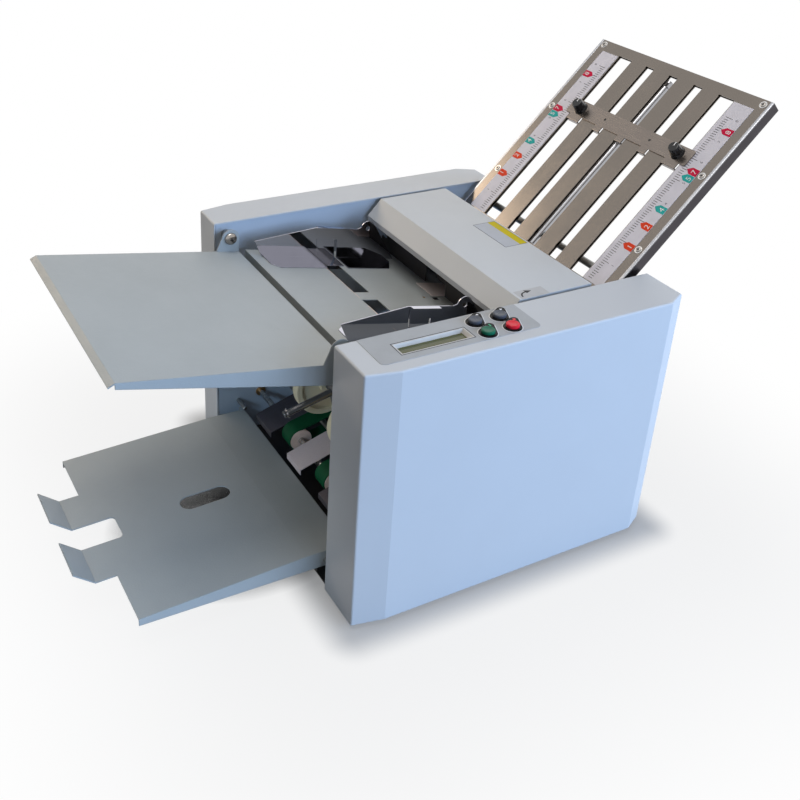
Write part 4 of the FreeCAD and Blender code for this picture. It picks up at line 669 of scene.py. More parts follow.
def plates(centres: np.ndarray, sizes: np.ndarray, base: float, top: float) -> Surface:
    """Thin rectangular plates, each an eight-cornered slab in the local x-y plane.

    A corner is centre + sign * size / 2 in x and y, at the base or the top height.

    Args:
        centres: one row of x, y for each plate.
        sizes: one row of length and width for each plate.
        base: height of the undersides.
        top: height of the upper faces.

    Returns:
        Every plate in one surface.
    """
    centres, sizes = (np.atleast_2d(rows).astype(float) for rows in (centres, sizes))
    sizes = np.broadcast_to(sizes, centres.shape)
    flat = centres[:, None, :] + SQUARE[None] * sizes[:, None, :] / 2
    count = len(centres)
    levels = [np.concatenate([flat, np.full((count, 4, 1), level)], axis=2)
              for level in (base, top)]
    cell = np.array([(3, 2, 1, 0), (4, 5, 6, 7), (0, 1, 5, 4), (1, 2, 6, 5), (2, 3, 7, 6),
                     (3, 0, 4, 7)])
    faces = (cell[None] + 8 * np.arange(count)[:, None, None]).reshape(-1, 4)
    return Surface(np.concatenate(levels, axis=1).reshape(-1, 3), faces)


def cross(spot: Sequence[float], length: float, width: float, base: float, top: float) -> Surface:
    """Two bars of one length and width crossed over a spot, between two heights."""
    bars = np.array([(length, width), (width, length)])
    return plates(np.array([spot, spot]), bars, base, top)


def slab(outline: np.ndarray, base: float, top: float) -> Surface:
    """A flat piece with any convex outline: the outline at two heights, joined round the rim.

    Args:
        outline: rows of x, y, anticlockwise.
        base: height of the underside.
        top: height of the upper face.

    Returns:
        The closed slab.
    """
    ring = np.arange(len(outline))
    after, upper = np.roll(ring, -1), ring + len(outline)
    walls = np.column_stack([ring, after, after + len(outline), upper]).tolist()
    return Surface(np.vstack([raised(outline, base), raised(outline, top)]),
                   walls + [ring[::-1].tolist(), upper.tolist()])


def frame_strip(outer: np.ndarray, inner: np.ndarray, base: float, top: float) -> Surface:
    """A flat ring between two outlines with as many points each, closed all round.

    Args:
        outer: rows of x, y of the outside, anticlockwise.
        inner: matching rows of the inside.
        base: height of the underside.
        top: height of the upper face.

    Returns:
        The closed ring.
    """
    count = len(outer)
    loops = [raised(line, height)
             for line, height in ((outer, base), (outer, top), (inner, top), (inner, base))]
    ring = np.arange(count)
    after = np.roll(ring, -1)
    faces = []
    for start, end in ((0, 1), (1, 2), (2, 3), (3, 0)):
        faces.append(np.column_stack([ring + start * count, after + start * count,
                                      after + end * count, ring + end * count]))
    return Surface(np.vstack(loops), np.vstack(faces))


def square_ring(middle: np.ndarray, size: np.ndarray, outer: float, inner: float, base: float,
                top: float) -> Surface:
    """A flat ring between one rectangle grown by two amounts.

    Args:
        middle: x, y of the rectangle's middle.
        size: its length and width.
        outer: how far the ring's outside lies outside the rectangle.
        inner: how far its inside does.
        base: height of the underside.
        top: height of the upper face.

    Returns:
        The closed ring.
    """
    half = np.asarray(size) / 2
    outside, inside = (middle + SQUARE * (half + grow) for grow in (outer, inner))
    return frame_strip(outside, inside, base, top)


def curved_strip(outline: np.ndarray, base: float, top: float) -> Surface:
    """Closed strip between the two halves of an outline, cut in as many quads as it has steps.

    Args:
        outline: rows of x, y, out along one side and back along the other.
        base: height of the underside.
        top: height of the upper face.

    Returns:
        The closed strip.
    """
    count = len(outline)
    step = np.arange(count // 2 - 1)
    back = count - 1 - step
    upper = np.column_stack([step, back, back - 1, step + 1]) + count
    lower = np.column_stack([step, step + 1, back - 1, back])
    ring = np.arange(count)
    after = np.roll(ring, -1)
    walls = np.column_stack([ring, ring + count, after + count, after])
    return Surface(np.vstack([raised(outline, base), raised(outline, top)]),
                   np.vstack([upper, lower, walls]))


def revolved(profile: np.ndarray, steps: int) -> Surface:
    """A profile of radius and height turned about the local z axis, closed at its poles.

    A point is (r cos a, r sin a, h) for every profile point and every angle a.

    Args:
        profile: rows of radius and height, from the lower pole to the upper one.
        steps: number of angles.

    Returns:
        The surface of revolution.
    """
    angle = np.linspace(0, 2 * np.pi, steps, endpoint=False)
    radius, height = profile[:, 0][:, None], profile[:, 1][:, None]
    grid = np.stack([radius * np.cos(angle), radius * np.sin(angle), height + 0 * angle], axis=2)
    rows = len(profile)
    i, j = np.meshgrid(np.arange(rows - 1), np.arange(steps), indexing="ij")
    k = (j + 1) % steps
    quads = np.stack([i * steps + j, i * steps + k, (i + 1) * steps + k, (i + 1) * steps + j],
                     axis=2)
    faces = quads.reshape(-1, 4).tolist()
    faces.append(list(range(steps))[::-1])
    faces.append([(rows - 1) * steps + index for index in range(steps)])
    return Surface(grid.reshape(-1, 3), faces)


@dataclass(frozen=True)
class DropShape:
    """Drop-shaped bezel: a round end joined to a small round tip."""

    radius: float
    tip_radius: float
    reach: float
    angle: float

    def tip(self, centre: np.ndarray) -> np.ndarray:
        """Centre of the small arc."""
        return centre + self.reach * np.array([math.cos(self.angle), math.sin(self.angle)])

    def outline(self, centre: np.ndarray, grow: float, steps: int = 40) -> np.ndarray:
        """An arc about the centre, tangent lines, and a small arc about the tip.

        With d the distance of the two centres, the arcs meet the tangents at the angles
        a +/- acos((R - r) / d), where a is the tip's direction.

        Args:
            centre: x, y of the large arc's centre.
            grow: how far the outline lies outside the drop.
            steps: points on each arc.

        Returns:
            Rows of x, y, anticlockwise.
        """
        spread = math.acos((self.radius - self.tip_radius) / self.reach)
        start, end = self.angle - spread, self.angle + spread
        small = on_circle(np.linspace(start, end, steps)) * (self.tip_radius + grow)
        large = on_circle(np.linspace(end, start + 2 * np.pi, steps)) * (self.radius + grow)
        return np.vstack([self.tip(centre) + small, centre + large])


def lettering(text: str, height: float, thickness: float) -> Surface:
    """A plain numeral as a thin solid in the local x-y plane, centred on the origin.

    Args:
        text: what to write.
        height: height of the numerals.
        thickness: how far they stand up.

    Returns:
        The numeral's surface.
    """
    curve = bpy.data.curves.new("numeral", "FONT")
    curve.body = text
    curve.size = height * FONT_RATIO
    curve.align_x = "CENTER"
    curve.align_y = "CENTER"
    curve.resolution_u = 3
    curve.extrude = thickness / 2
    holder = bpy.data.objects.new("numeral", curve)
    mesh = bpy.data.meshes.new_from_object(holder)
    surface = Surface(vertices_of(mesh), [list(face.vertices) for face in mesh.polygons])
    bpy.data.objects.remove(holder)
    bpy.data.curves.remove(curve)
    bpy.data.meshes.remove(mesh)
    return surface


def vertices_of(mesh: bpy.types.Mesh) -> np.ndarray:
    """A mesh's vertices as rows of x, y, z."""
    flat = np.zeros(len(mesh.vertices) * 3)
    mesh.vertices.foreach_get("co", flat)
    return flat.reshape(-1, 3)


# ------------------------------------------------------------------ sub-assemblies
MATERIALS: dict[str, bpy.types.Material] = {}
BUTTONS = ("button_back", "button_forward", "button_start", "button_stop")


class SubAssembly:
    """Something that dresses CAD nodes and adds pieces."""

    def finish(self, finish: object, *nodes: str) -> bpy.types.Material:
        """Give CAD nodes a finish.

        Args:
            finish: the finish to build.
            nodes: names of the nodes.

        Returns:
            The material that was built.
        """
        material = MATERIALS.get(finish.name) or finish.build()
        MATERIALS[finish.name] = material
        for node in nodes:
            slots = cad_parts[node].data.materials
            slots.clear()
            slots.append(material)
            LOG.info("node %s wears %s", node, finish.name)
        return material

    def add(self, name: str, surface: Surface, body: str, slot: str, finish: object,
            smooth: bool = False) -> None:
        """Make a worked-out surface an object that rides on a body.

        Args:
            name: name of the piece.
            surface: its vertices and faces.
            body: the body that it rides on.
            slot: the record's material slot; not used.
            finish: its finish.
            smooth: whether its faces are shaded smooth up to a limit.
        """
        mesh = bpy.data.meshes.new(name)
        mesh.from_pydata(surface.points.tolist(), [], surface.face_rows())
        mesh.update()
        piece = bpy.data.objects.new(name, mesh)
        bpy.context.scene.collection.objects.link(piece)
        mesh.materials.append(self.finish(finish))
        if smooth:
            mesh.shade_smooth()
            mesh.set_sharp_from_angle(angle=SMOOTH_LIMIT)
        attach(piece, body)
        LOG.info("piece %s on %s, %d faces", name, body, len(mesh.polygons))


@dataclass
class Casing(SubAssembly):
    """Covers, base, frames, feet, rods, posts, hinge pins, power inlet and switch."""

    def dress(self) -> None:
        """Give every structural node its finish."""
        self.finish(COVER_PAINT, "near_cover", "far_cover")
        self.finish(FRAME_PAINT, "near_side_frame", "far_side_frame")
        self.finish(BLACK_PAINT, "base_plate")
        self.finish(FOOT_RUBBER, "rubber_feet")
        self.finish(ZINC_STEEL, "tie_rods", "spacer_posts", "hinge_pins")
        self.finish(BLACK_MOULDING, "power_inlet", "switch_rocker")


@dataclass
class ControlPanel(SubAssembly):
    """Printed panel with the display, four buttons and their bezels."""

    border_reach: float = 1.7 * MM
    border_line: float = 0.95 * MM
    print_thickness: float = 0.05 * MM
    bezel_height: float = 1.6 * MM
    drop: DropShape = DropShape(10.8 * MM, 5.5 * MM, 16.0 * MM, math.radians(49.0))
    ring: Pair = (0.25 * MM, 1.35 * MM)
    mark: float = 2.0 * MM

    def dress(self) -> None:
        """Finish the nodes, then print the border, the rings and the marks."""
        self.finish(PANEL_FILM, "control_panel")
        self.finish(WHITE_FRAME, "display_frame")
        self.finish(DISPLAY, "display_module")
        self.finish(BLACK_GLOSS, "button_bezels")
        self.finish(GREY_BUTTON, "button_back", "button_forward")
        self.finish(GREEN_BUTTON, "button_start")
        self.finish(RED_BUTTON, "button_stop")
        self.finish(BOARD_GREEN, "control_board")
        level = plan("control_panel")[2]
        self.border(level)
        self.rings(level)
        self.marks(level + self.bezel_height)

    def border(self, level: float) -> None:
        """Dark line round the display frame: a ring of constant width at a level."""
        middle, size, _ = plan("display_frame")
        ring = square_ring(middle, size, self.border_reach, self.border_reach - self.border_line,
                           level, level + self.print_thickness)
        self.add("display_border_print", ring, "machine", "panel_film", BLACK_PRINT)

    def rings(self, level: float) -> None:
        """Silver line round each bezel: the bezel's own outline grown by two amounts."""
        inner, outer = self.ring
        centres = [plan(button)[0] for button in BUTTONS]
        strips = [frame_strip(self.drop.outline(centre, outer), self.drop.outline(centre, inner),
                              level, level + self.print_thickness) for centre in centres]
        self.add("bezel_ring_print", merged(strips), "machine", "panel_film", SILVER_PRINT)

    def marks(self, level: float) -> None:
        """A plain mark on each bezel's tip: two arrow heads, a bar and a disc."""
        shapes = (([(-1, 0), (0.8, -1), (0.8, 1)], WHITE_PRINT),
                  ([(1, 0), (-0.8, 1), (-0.8, -1)], WHITE_PRINT),
                  ([(-0.4, -1.2), (0.4, -1.2), (0.4, 1.2), (-0.4, 1.2)], GREEN_PRINT),
                  (circle(24), RED_PRINT))
        for button, (outline, finish) in zip(BUTTONS, shapes):
            place = self.drop.tip(plan(button)[0])
            mark = slab(np.array(outline) * self.mark + place, level, level + self.print_thickness)
            self.add(f"{button}_mark", mark, "machine", "black_gloss", finish)


@dataclass
class FeedSection(SubAssembly):
    """Feed table, guides, tray, top cover and the plates round the feed roller."""

    deck_slope: float = math.radians(11.5)
    deck_shift: float = 8.5 * MM
    slot_front: float = 92.5 * MM
    slot_runs: tuple = ((11.5 * MM, 117.5 * MM), (-134.5 * MM, -10.5 * MM))
    edge_line: Pair = (0.8 * MM, 0.04 * MM)
    deck_screw: Pair = (193.5 * MM, 3.8 * MM)
    deck_screw_radii: Pair = (2.3 * MM, 1.2 * MM)
    deck_screw_heights: Pair = (0.12 * MM, 0.06 * MM)
    label_edge: float = 2.0 * MM
    label_size: Pair = (35.5 * MM, 76.5 * MM)
    label_line: float = 0.8 * MM
    label_thickness: float = 0.1 * MM
    border_rise: float = 1.4
    band: float = 12.0 * MM
    screw_reach: float = 16.0 * MM
    dome: tuple[float, float, float, float] = (8.3 * MM, 4.9 * MM, 2.4, 4.0 * MM)
    dome_pole: float = 0.05 * MM
    dome_steps: tuple[int, int] = (12, 48)
    dome_cross: Pair = (5.4 * MM, 1.3 * MM)
    cross_depths: Pair = (-0.4 * MM, 0.04 * MM)
    arrow_label: Pair = (41.0 * MM, 20.0 * MM)
    arrow_label_at: Pair = (44.0 * MM, 9.5 * MM)
    arrow: Pair = (9.5 * MM, 2.0 * MM)
    arrow_at: Pair = (-6.5 * MM, -5.0 * MM)
    arrow_turn: Pair = (180.0, 80.0)
    arrow_head: tuple[Pair, ...] = ((9.5 * MM, 0.6 * MM), (0.0, 4.4 * MM), (0.6 * MM, -3.2 * MM))

    def dress(self) -> None:
        """Finish the nodes, put the plain labels on the top cover and detail the deck."""
        self.finish(TRAY_PAINT, "feed_table", "feed_tray")
        self.finish(TOP_PAINT, "top_cover")
        self.finish(MIRROR_STEEL, "near_guide", "far_guide")
        self.finish(PAD_RUBBER, "friction_pad")
        self.finish(BLACK_PAINT, "inner_paper_plates")
        self.finish(FEED_RUBBER, "feed_wheel")
        self.labels()
        self.arrow_sticker()
        self.deck_details()
        self.hinge_domes()

    def hinge_domes(self) -> None:
        """Polished domes over the two screws that the tray turns on, each with a dark cross that
        is painted shade in its cross recess.

        With R the dome's radius and H its height, its profile is (r/R)^n + (h/H)^n = 1.
        """
        points = vertices_of(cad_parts["pan_head_screws"].data)
        radius, height, power, seat = self.dome
        points = points[points[:, 0] < points[:, 0].min() + self.screw_reach]
        middle = (points.min(axis=0) + points.max(axis=0)) / 2
        rise_steps, round_steps = self.dome_steps
        turn = np.linspace(0, np.pi / 2, rise_steps)
        profile = np.column_stack([radius * np.cos(turn) ** (2 / power),
                                   height * np.sin(turn) ** (2 / power)])
        profile[-1, 0] = self.dome_pole
        dome = revolved(profile, round_steps)
        # Painted shade: a dark cross set into the dome's crown stands for the shade in its recess.
        recess = cross((0.0, 0.0), *self.dome_cross,
                       *(height + depth for depth in self.cross_depths))
        domes, recesses = [], []
        for side in (1, -1):
            own = points[points[:, 1] * side > middle[1] * side]
            face = (own[:, 1] * side).min() * side
            origin = (middle[0], face + side * seat, middle[2])
            axes = np.column_stack([(1, 0, 0), (0, 0, side), (0, -side, 0)])
            domes.append(dome.placed(axes, origin))
            recesses.append(recess.placed(axes, origin))
        self.add("tray_screw_domes", merged(domes), "machine", "zinc", NICKEL, smooth=True)
        self.add("tray_screw_recess_shades", merged(recesses), "machine", "zinc", BLACK_PRINT)

    def labels(self) -> None:
        """Blank two-tone label with a thin dark border, flat on the top cover."""
        (x, y), (length, _), top = plan("top_cover")
        thick, (depth, width) = self.label_thickness, self.label_size
        rear = x + length / 2 - self.label_edge
        pale = depth - self.band
        for name, place, run, finish in (
                ("cover_label_pale", rear - self.band - pale / 2, pale, PALE_LABEL),
                ("cover_label_band", rear - self.band / 2, self.band, YELLOW_FILM)):
            sticker = plates(np.array([place, y]), np.array([run, width]), top, top + thick)
            self.add(name, sticker, "top_cover", "scale_film", finish)
        border = square_ring(np.array([rear - depth / 2, y]), (depth, width), 0.0,
                             -self.label_line, top + thick, top + thick * self.border_rise)
        self.add("cover_label_border", border, "top_cover", "scale_film", BORDER_PRINT)

    def arrow_sticker(self) -> None:
        """Plain sticker with a curved arrow: a ring's arc from 180 to 80 degrees, and a head."""
        middle, size, top = plan("top_cover")
        base, thick = top + self.label_thickness / 2, self.label_thickness
        centre = middle - size / 2 + self.arrow_label_at
        sticker = plates(centre, np.array(self.arrow_label), top, base)
        self.add("cover_arrow_label", sticker, "top_cover", "scale_film", CLEAR_LABEL)
        radius, width = self.arrow
        pivot = centre + self.arrow_at
        bow = on_circle(np.radians(np.linspace(*self.arrow_turn, 16)))
        outline = np.vstack([bow * (radius + width / 2), (bow * (radius - width / 2))[::-1]])
        arc = curved_strip(outline + pivot, base, top + thick)
        head = slab(np.array(self.arrow_head) + pivot + (0, radius), base, top + thick)
        self.add("cover_arrow_print", merged([arc, head]), "top_cover", "scale_film", BLACK_PRINT)

    def on_deck(self, surface: Surface) -> Surface:
        """Lay a surface worked out along the deck, from its front edge, in its place."""
        middle, size, top = plan("feed_table")
        fall = self.deck_slope
        along = np.array([math.cos(fall), 0, -math.sin(fall)])
        off = np.array([math.sin(fall), 0, math.cos(fall)])
        matrix = np.column_stack([along, np.cross(off, along), off])
        origin = (middle[0] - size[0] / 2, middle[1] - self.deck_shift, top)
        return surface.placed(matrix, origin)

    def deck_details(self) -> None:
        """Bright cut edge along the slide slots, and the countersunk screw ahead of the pad, whose
        dark socket disc is painted shade in the hole.
        """
        line, rise = self.edge_line
        place = self.slot_front / math.cos(self.deck_slope) - line / 2
        centres = np.array([(place, (start + end) / 2) for start, end in self.slot_runs])
        sizes = np.array([(line, end - start) for start, end in self.slot_runs])
        spot = np.array(self.deck_screw) + (0, self.deck_shift)
        rim, hole = (circle(32) * radius + spot for radius in self.deck_screw_radii)
        head, socket = self.deck_screw_heights
        for name, shape, slot, finish in (
                ("slot_cut_edges", plates(centres, sizes, 0, rise), "tray_paint", CUT_EDGE),
                ("deck_screw_head", frame_strip(rim, hole, 0, head), "zinc", BRONZE),
                # Painted shade: the dark disc in the screw's hole.
                ("deck_screw_socket_shade", slab(hole, 0, socket), "zinc", BLACK_PRINT)):
            self.add(name, self.on_deck(shape), "machine", slot, finish)


@dataclass
class RollerTrain(SubAssembly):
    """Fold rollers, gears, pulleys, belts and the motor."""

    steel: Colour = (0.40, 0.40, 0.39)
    rubber: Colour = (0.035, 0.035, 0.037)

    def dress(self) -> None:
        """Finish every roller by its own axis, then the rest of the drive."""
        for name in ("one", "two", "three", "four"):
            node = f"fold_roller_{name}"
            self.finish(TurnedPartFinish(f"roller_{name}_finish", middle_of(node), self.steel,
                                         self.rubber), node)
            self.finish(ACETAL, f"roller_gear_{name}")
        self.finish(ACETAL, "main_pulley")
        self.finish(ZINC_STEEL, "motor_pulley", "feed_shaft")
        self.finish(MOTOR_PAINT, "drive_motor")
        self.finish(BELT_RUBBER, "drive_belts")
        self.finish(BRONZE, "shaft_bushes")


@dataclass
class FoldPlates(SubAssembly):
    """Upper and lower fold plates with stops, knobs and the printed scales."""

    slope: float = math.radians(45.0)
    sheets_depth: float = 5.4 * MM
    scale_band: Pair = (113.2 * MM, 146.8 * MM)
    scale_end: float = 313.0 * MM
    scale_height: float = 0.3 * MM
    tick_start: float = 6.0 * MM
    tick_pitch: float = 3.45 * MM
    tick_lengths: tuple[float, float, float] = (7.0 * MM, 9.0 * MM, 12.0 * MM)
    tick_width: float = 0.75 * MM
    first_label: float = 41.0 * MM
    label_across: float = 25.5 * MM
    numeral_height: float = 4.6 * MM
    print_thickness: float = 0.04 * MM
    tag_numeral: float = 8.2 * MM
    tag_size: tuple[float, float, float] = (10.2 * MM, 12.6 * MM, 6.4 * MM)
    tag_inset: float = 0.4 * MM
    tag_thickness: float = 0.12 * MM
    tags: tuple = ((59.5, "8", CRIMSON_TAG), (125.8, "7", CRIMSON_TAG), (136.6, "5", TEAL_TAG),
                   (188.6, "4", TEAL_TAG), (217.0, "2", RED_TAG), (250.5, "1", RED_TAG))
    screw_places: tuple[float, ...] = (7.6 * MM, 126.0 * MM, 248.0 * MM)
    screw_across: float = 153.5 * MM
    screw_head: Pair = (3.6 * MM, 1.8 * MM)
    screw_cross: Pair = (3.6 * MM, 1.1 * MM)
    washer: Pair = (5.2 * MM, 0.5 * MM)
    fine: float = 0.05 * MM
    hole_shade_across: float = 45.5 * MM
    hole_shade: tuple[float, float, float] = (1.95 * MM, 0.9 * MM, 1.5 * MM)
    knob_place: tuple[float, float, float] = (112.4 * MM, 98.5 * MM, 17.0 * MM)
    pointer: tuple[float, float, float] = (5.4 * MM, 1.5 * MM, 4.2 * MM)

    def dress(self) -> None:
        """Finish both plates, print the scales, stick on the tags and detail the hardware."""
        self.finish(PLATE_STEEL, "fold_plate_sheets", "lower_fold_plate")
        self.finish(RAIL_PAINTED_HIGHLIGHT, "fold_plate_rails")
        self.finish(SCALE_FILM, "fold_plate_scales")
        self.finish(STOP_STEEL, "fold_stop_bar", "lower_stop_bar")
        self.finish(KNOB_GLOSS, "stop_knob_near", "stop_knob_far", "lower_stop_knob")
        self.finish(ROD_STEEL, "guide_rods")
        self.finish(NICKEL, "pan_head_screws")
        self.print_scales()
        self.stick_tags()
        self.dress_screws()
        self.shade_bar_holes()
        self.mark_knobs()

    def on_plate(self, surface: Surface) -> Surface:
        """Lay a surface in its place: down the plate, across it to the operator, and up off it.

        The origin is the top edge of the upper plate's upper face, on the centre line.
        """
        sine, cosine = math.sin(self.slope), math.cos(self.slope)
        down, off = np.array([-cosine, 0, -sine]), np.array([-sine, 0, cosine])
        middle, size, top = plan("fold_plate_sheets")
        origin = (middle[0] + size[0] / 2 - self.sheets_depth * sine, middle[1], top)
        return surface.placed(np.column_stack([down, np.cross(off, down), off]), origin)

    def add_on_plate(self, name: str, parts: Sequence[Surface], body: str, slot: str,
                     finish: object) -> None:
        """Add surfaces worked out on the plate's own axes as one piece.

        Args:
            name: name of the piece.
            parts: its surfaces.
            body: the body that it rides on.
            slot: the record's material slot.
            finish: its finish.
        """
        self.add(name, self.on_plate(merged(parts)), body, slot, finish)

    def upright(self, text: str, height: float, place: Point) -> Surface:
        """A numeral that the operator reads from the side, its foot towards the operator."""
        turned = np.diag([-1.0, -1.0, 1.0])
        return lettering(text, height, self.print_thickness).placed(turned, place)

    def print_scales(self) -> None:
        """Ticks at a constant pitch along each scale's inner edge, and a numeral at every tenth.

        Tick k lies at s = s0 + k p. Every tenth tick has the longest of the three lengths,
        every other fifth one the middle length and each other tick the shortest.
        """
        inner = self.scale_band[0]
        ticks = np.arange(self.first_label, self.scale_end, self.tick_pitch)
        order = np.arange(len(ticks))
        plain, fifth, tenth = self.tick_lengths
        length = np.where(order % 10 == 0, tenth, np.where(order % 5 == 0, fifth, plain))
        sizes = np.column_stack([np.full(len(ticks), self.tick_width), length])
        base, thick = self.scale_height, self.print_thickness
        labels = ticks[::10]
        parts, numerals = [], []
        for side in (1, -1):
            across = side * (inner + self.tick_start + length / 2)
            parts.append(plates(np.column_stack([ticks, across]), sizes, base, base + thick))
            for count, place in enumerate(labels):
                spot = (place, side * (inner + self.label_across), base + thick / 2)
                numerals.append(self.upright(str(len(labels) - count), self.numeral_height, spot))
        self.add_on_plate("scale_ticks", parts, "machine", "scale_film", BLACK_PRINT)
        self.add_on_plate("scale_numerals", numerals, "machine", "scale_film", GREY_PRINT)

    def stick_tags(self) -> None:
        """Coloured five-cornered tags that point to the middle, each with a white numeral."""
        along, square, point = self.tag_size
        base = self.scale_height + self.print_thickness
        top = base + self.tag_thickness
        outline = np.array([(-along / 2, 0), (-along / 2, -square), (0, -square - point),
                            (along / 2, -square), (along / 2, 0)])
        numerals, by_finish = [], {}
        for place, text, finish in self.tags:
            for side in (1, -1):
                edge = side * (self.scale_band[1] - self.tag_inset)
                shape = outline * (1, side) + (place * MM, edge)
                tag = slab(shape[::-1] if side > 0 else shape, base, top)
                by_finish.setdefault(finish, []).append(tag)
                spot = (place * MM, edge - side * square / 2, top)
                numerals.append(self.upright(text, self.tag_numeral, spot))
        for finish, tags in by_finish.items():
            self.add_on_plate(f"{finish.name}s", tags, "machine", "scale_film", finish)
        self.add_on_plate("tag_numerals", numerals, "machine", "scale_film", WHITE_PRINT)

    def dress_screws(self) -> None:
        """A bright washer under each plate screw's head, and a dark cross on the head that is
        painted shade in its recess.
        """
        head_r, head_h = self.screw_head
        washer_r, washer_h = self.washer
        ring = circle(36)
        spots = [np.array([place, side * self.screw_across])
                 for place in self.screw_places for side in (1, -1)]
        washers = [frame_strip(ring * washer_r + spot, ring * (head_r + self.fine) + spot, 0,
                               washer_h) for spot in spots]
        self.add_on_plate("plate_screw_washers", washers, "machine", "zinc", SCREW_STEEL)
        # Painted shade: a thin dark cross laid over the head stands for the shade in its cross
        # recess.
        cross_shades = [cross(spot, *self.screw_cross, head_h - self.fine, head_h + self.print_thickness)
                for spot in spots]
        self.add_on_plate("plate_screw_recess_shades", cross_shades, "machine", "zinc", BLACK_PRINT)

    def shade_bar_holes(self) -> None:
        """Dark discs sunk in the two holes of the stop bar: painted shade in the holes."""
        radius, base, top = self.hole_shade
        screws = [slab(circle(28) * radius + (self.knob_place[0], side * self.hole_shade_across), base,
                       top) for side in (1, -1)]
        self.add_on_plate("stop_bar_hole_shades", screws, "fold_stop", "black_plastic",
                          BLACK_PRINT)

    def mark_knobs(self) -> None:
        """White pointer line on each clamp knob's crown, towards the top of the plate."""
        place, across, top = self.knob_place
        length, width, ahead = self.pointer
        for name, side in (("near_knob", 1), ("far_knob", -1)):
            line = plates(np.array([place - ahead, side * across]), np.array([length, width]),
                          top - self.fine, top + self.fine * 1.2)
            self.add_on_plate(f"{name}_pointer", [line], name, "black_plastic", WHITE_PRINT)


@dataclass
class Delivery(SubAssembly):
    """Delivery belts, rollers, guides, stacker and tray."""

    lit_band_half: float = 24.0 * MM
    steel: Colour = (0.42, 0.42, 0.41)
    sleeve: Colour = (0.74, 0.56, 0.47)

    def dress(self) -> None:
        """Finish the delivery's nodes."""
        for end in ("front", "rear"):
            node = f"delivery_roller_{end}"
            self.finish(TurnedPartFinish(f"delivery_{end}_finish", middle_of(node), self.steel,
                                         self.sleeve, 0.45), node)
        self.finish(GREEN_BELT, "delivery_belts")
        self.finish(TRAY_PAINT, "delivery_tray")
        # The middle guide's pale colour is a painted reflection of light, and the outer guides'
        # dark colour is painted shade.
        guides = GuidePaintedLightFinish("guide_stainless_painted_light", (0.110, 0.105, 0.125), (0.60, 0.53, 0.55),
                                   middle_of("delivery_guides")[1], self.lit_band_half)
        self.finish(guides, "delivery_guides")
        self.finish(CARRIAGE_GREY, "stacker_carriage")
        self.finish(CREAM_RUBBER, "stacker_wheels")


# ------------------------------------------------------------------ studio
@dataclass(frozen=True)
class Lamp:
    """A soft rectangular lamp, or a narrow soft-edged spot where it has a cone in degrees."""

    name: str
    place: Point
    target: Point
    power: float
    colour: Colour
    size: Pair = (0.0, 0.0)
    cone: float = 0.0
    cone_blend: float = 1.0
    source_radius: float = 0.12
    in_mirrors: bool = True

    def hang(self) -> None:
        """Put the lamp in its place, turned to its target."""
        data = bpy.data.lights.new(self.name, "SPOT" if self.cone else "AREA")
        data.energy = self.power
        data.color = self.colour
        if self.cone:
            data.spot_size = math.radians(self.cone)
            data.spot_blend = self.cone_blend
            data.shadow_soft_size = self.source_radius
        else:
            data.shape = "RECTANGLE"
            data.size, data.size_y = self.size
        lamp = bpy.data.objects.new(self.name, data)
        turn = (Vector(self.target) - Vector(self.place)).to_track_quat("-Z", "Y")
        lamp.matrix_world = Matrix.Translation(self.place) @ turn.to_matrix().to_4x4()
        lamp.visible_glossy = self.in_mirrors
        bpy.context.scene.collection.objects.link(lamp)


LAMPS = (
    Lamp("top_light", (-0.30, 0.05, 2.9), (0, 0, 0.3), 39.0, (1.0, 0.975, 0.94), (1.8, 1.8)),
    Lamp("window_light", (2.1, -3.0, 1.1), (0, 0, 0.2), 246.0, (0.57, 0.80, 1.18), (6.0, 2.0),
         in_mirrors=False),
    Lamp("rear_light", (2.2, 2.4, 1.3), (0, 0, 0.2), 8.0, (1.0, 1.0, 1.0), (2.4, 2.4)),
    Lamp("wall_light", (-0.75, 2.3, 1.42), (0, 0, 0.3), 15.0, (1.2, 0.97, 0.72), (1.5, 1.0)),
    Lamp("mouth_light", (-1.25, -0.42, 0.24), (-0.10, -0.03, 0.12), 24.0, (1.0, 0.97, 0.88),
         cone=10.0),
    Lamp("tray_light", (-1.35, -0.85, 0.80), (-0.31, 0.0, 0.05), 28.0, (0.62, 0.92, 1.25),
         cone=20.0),
)


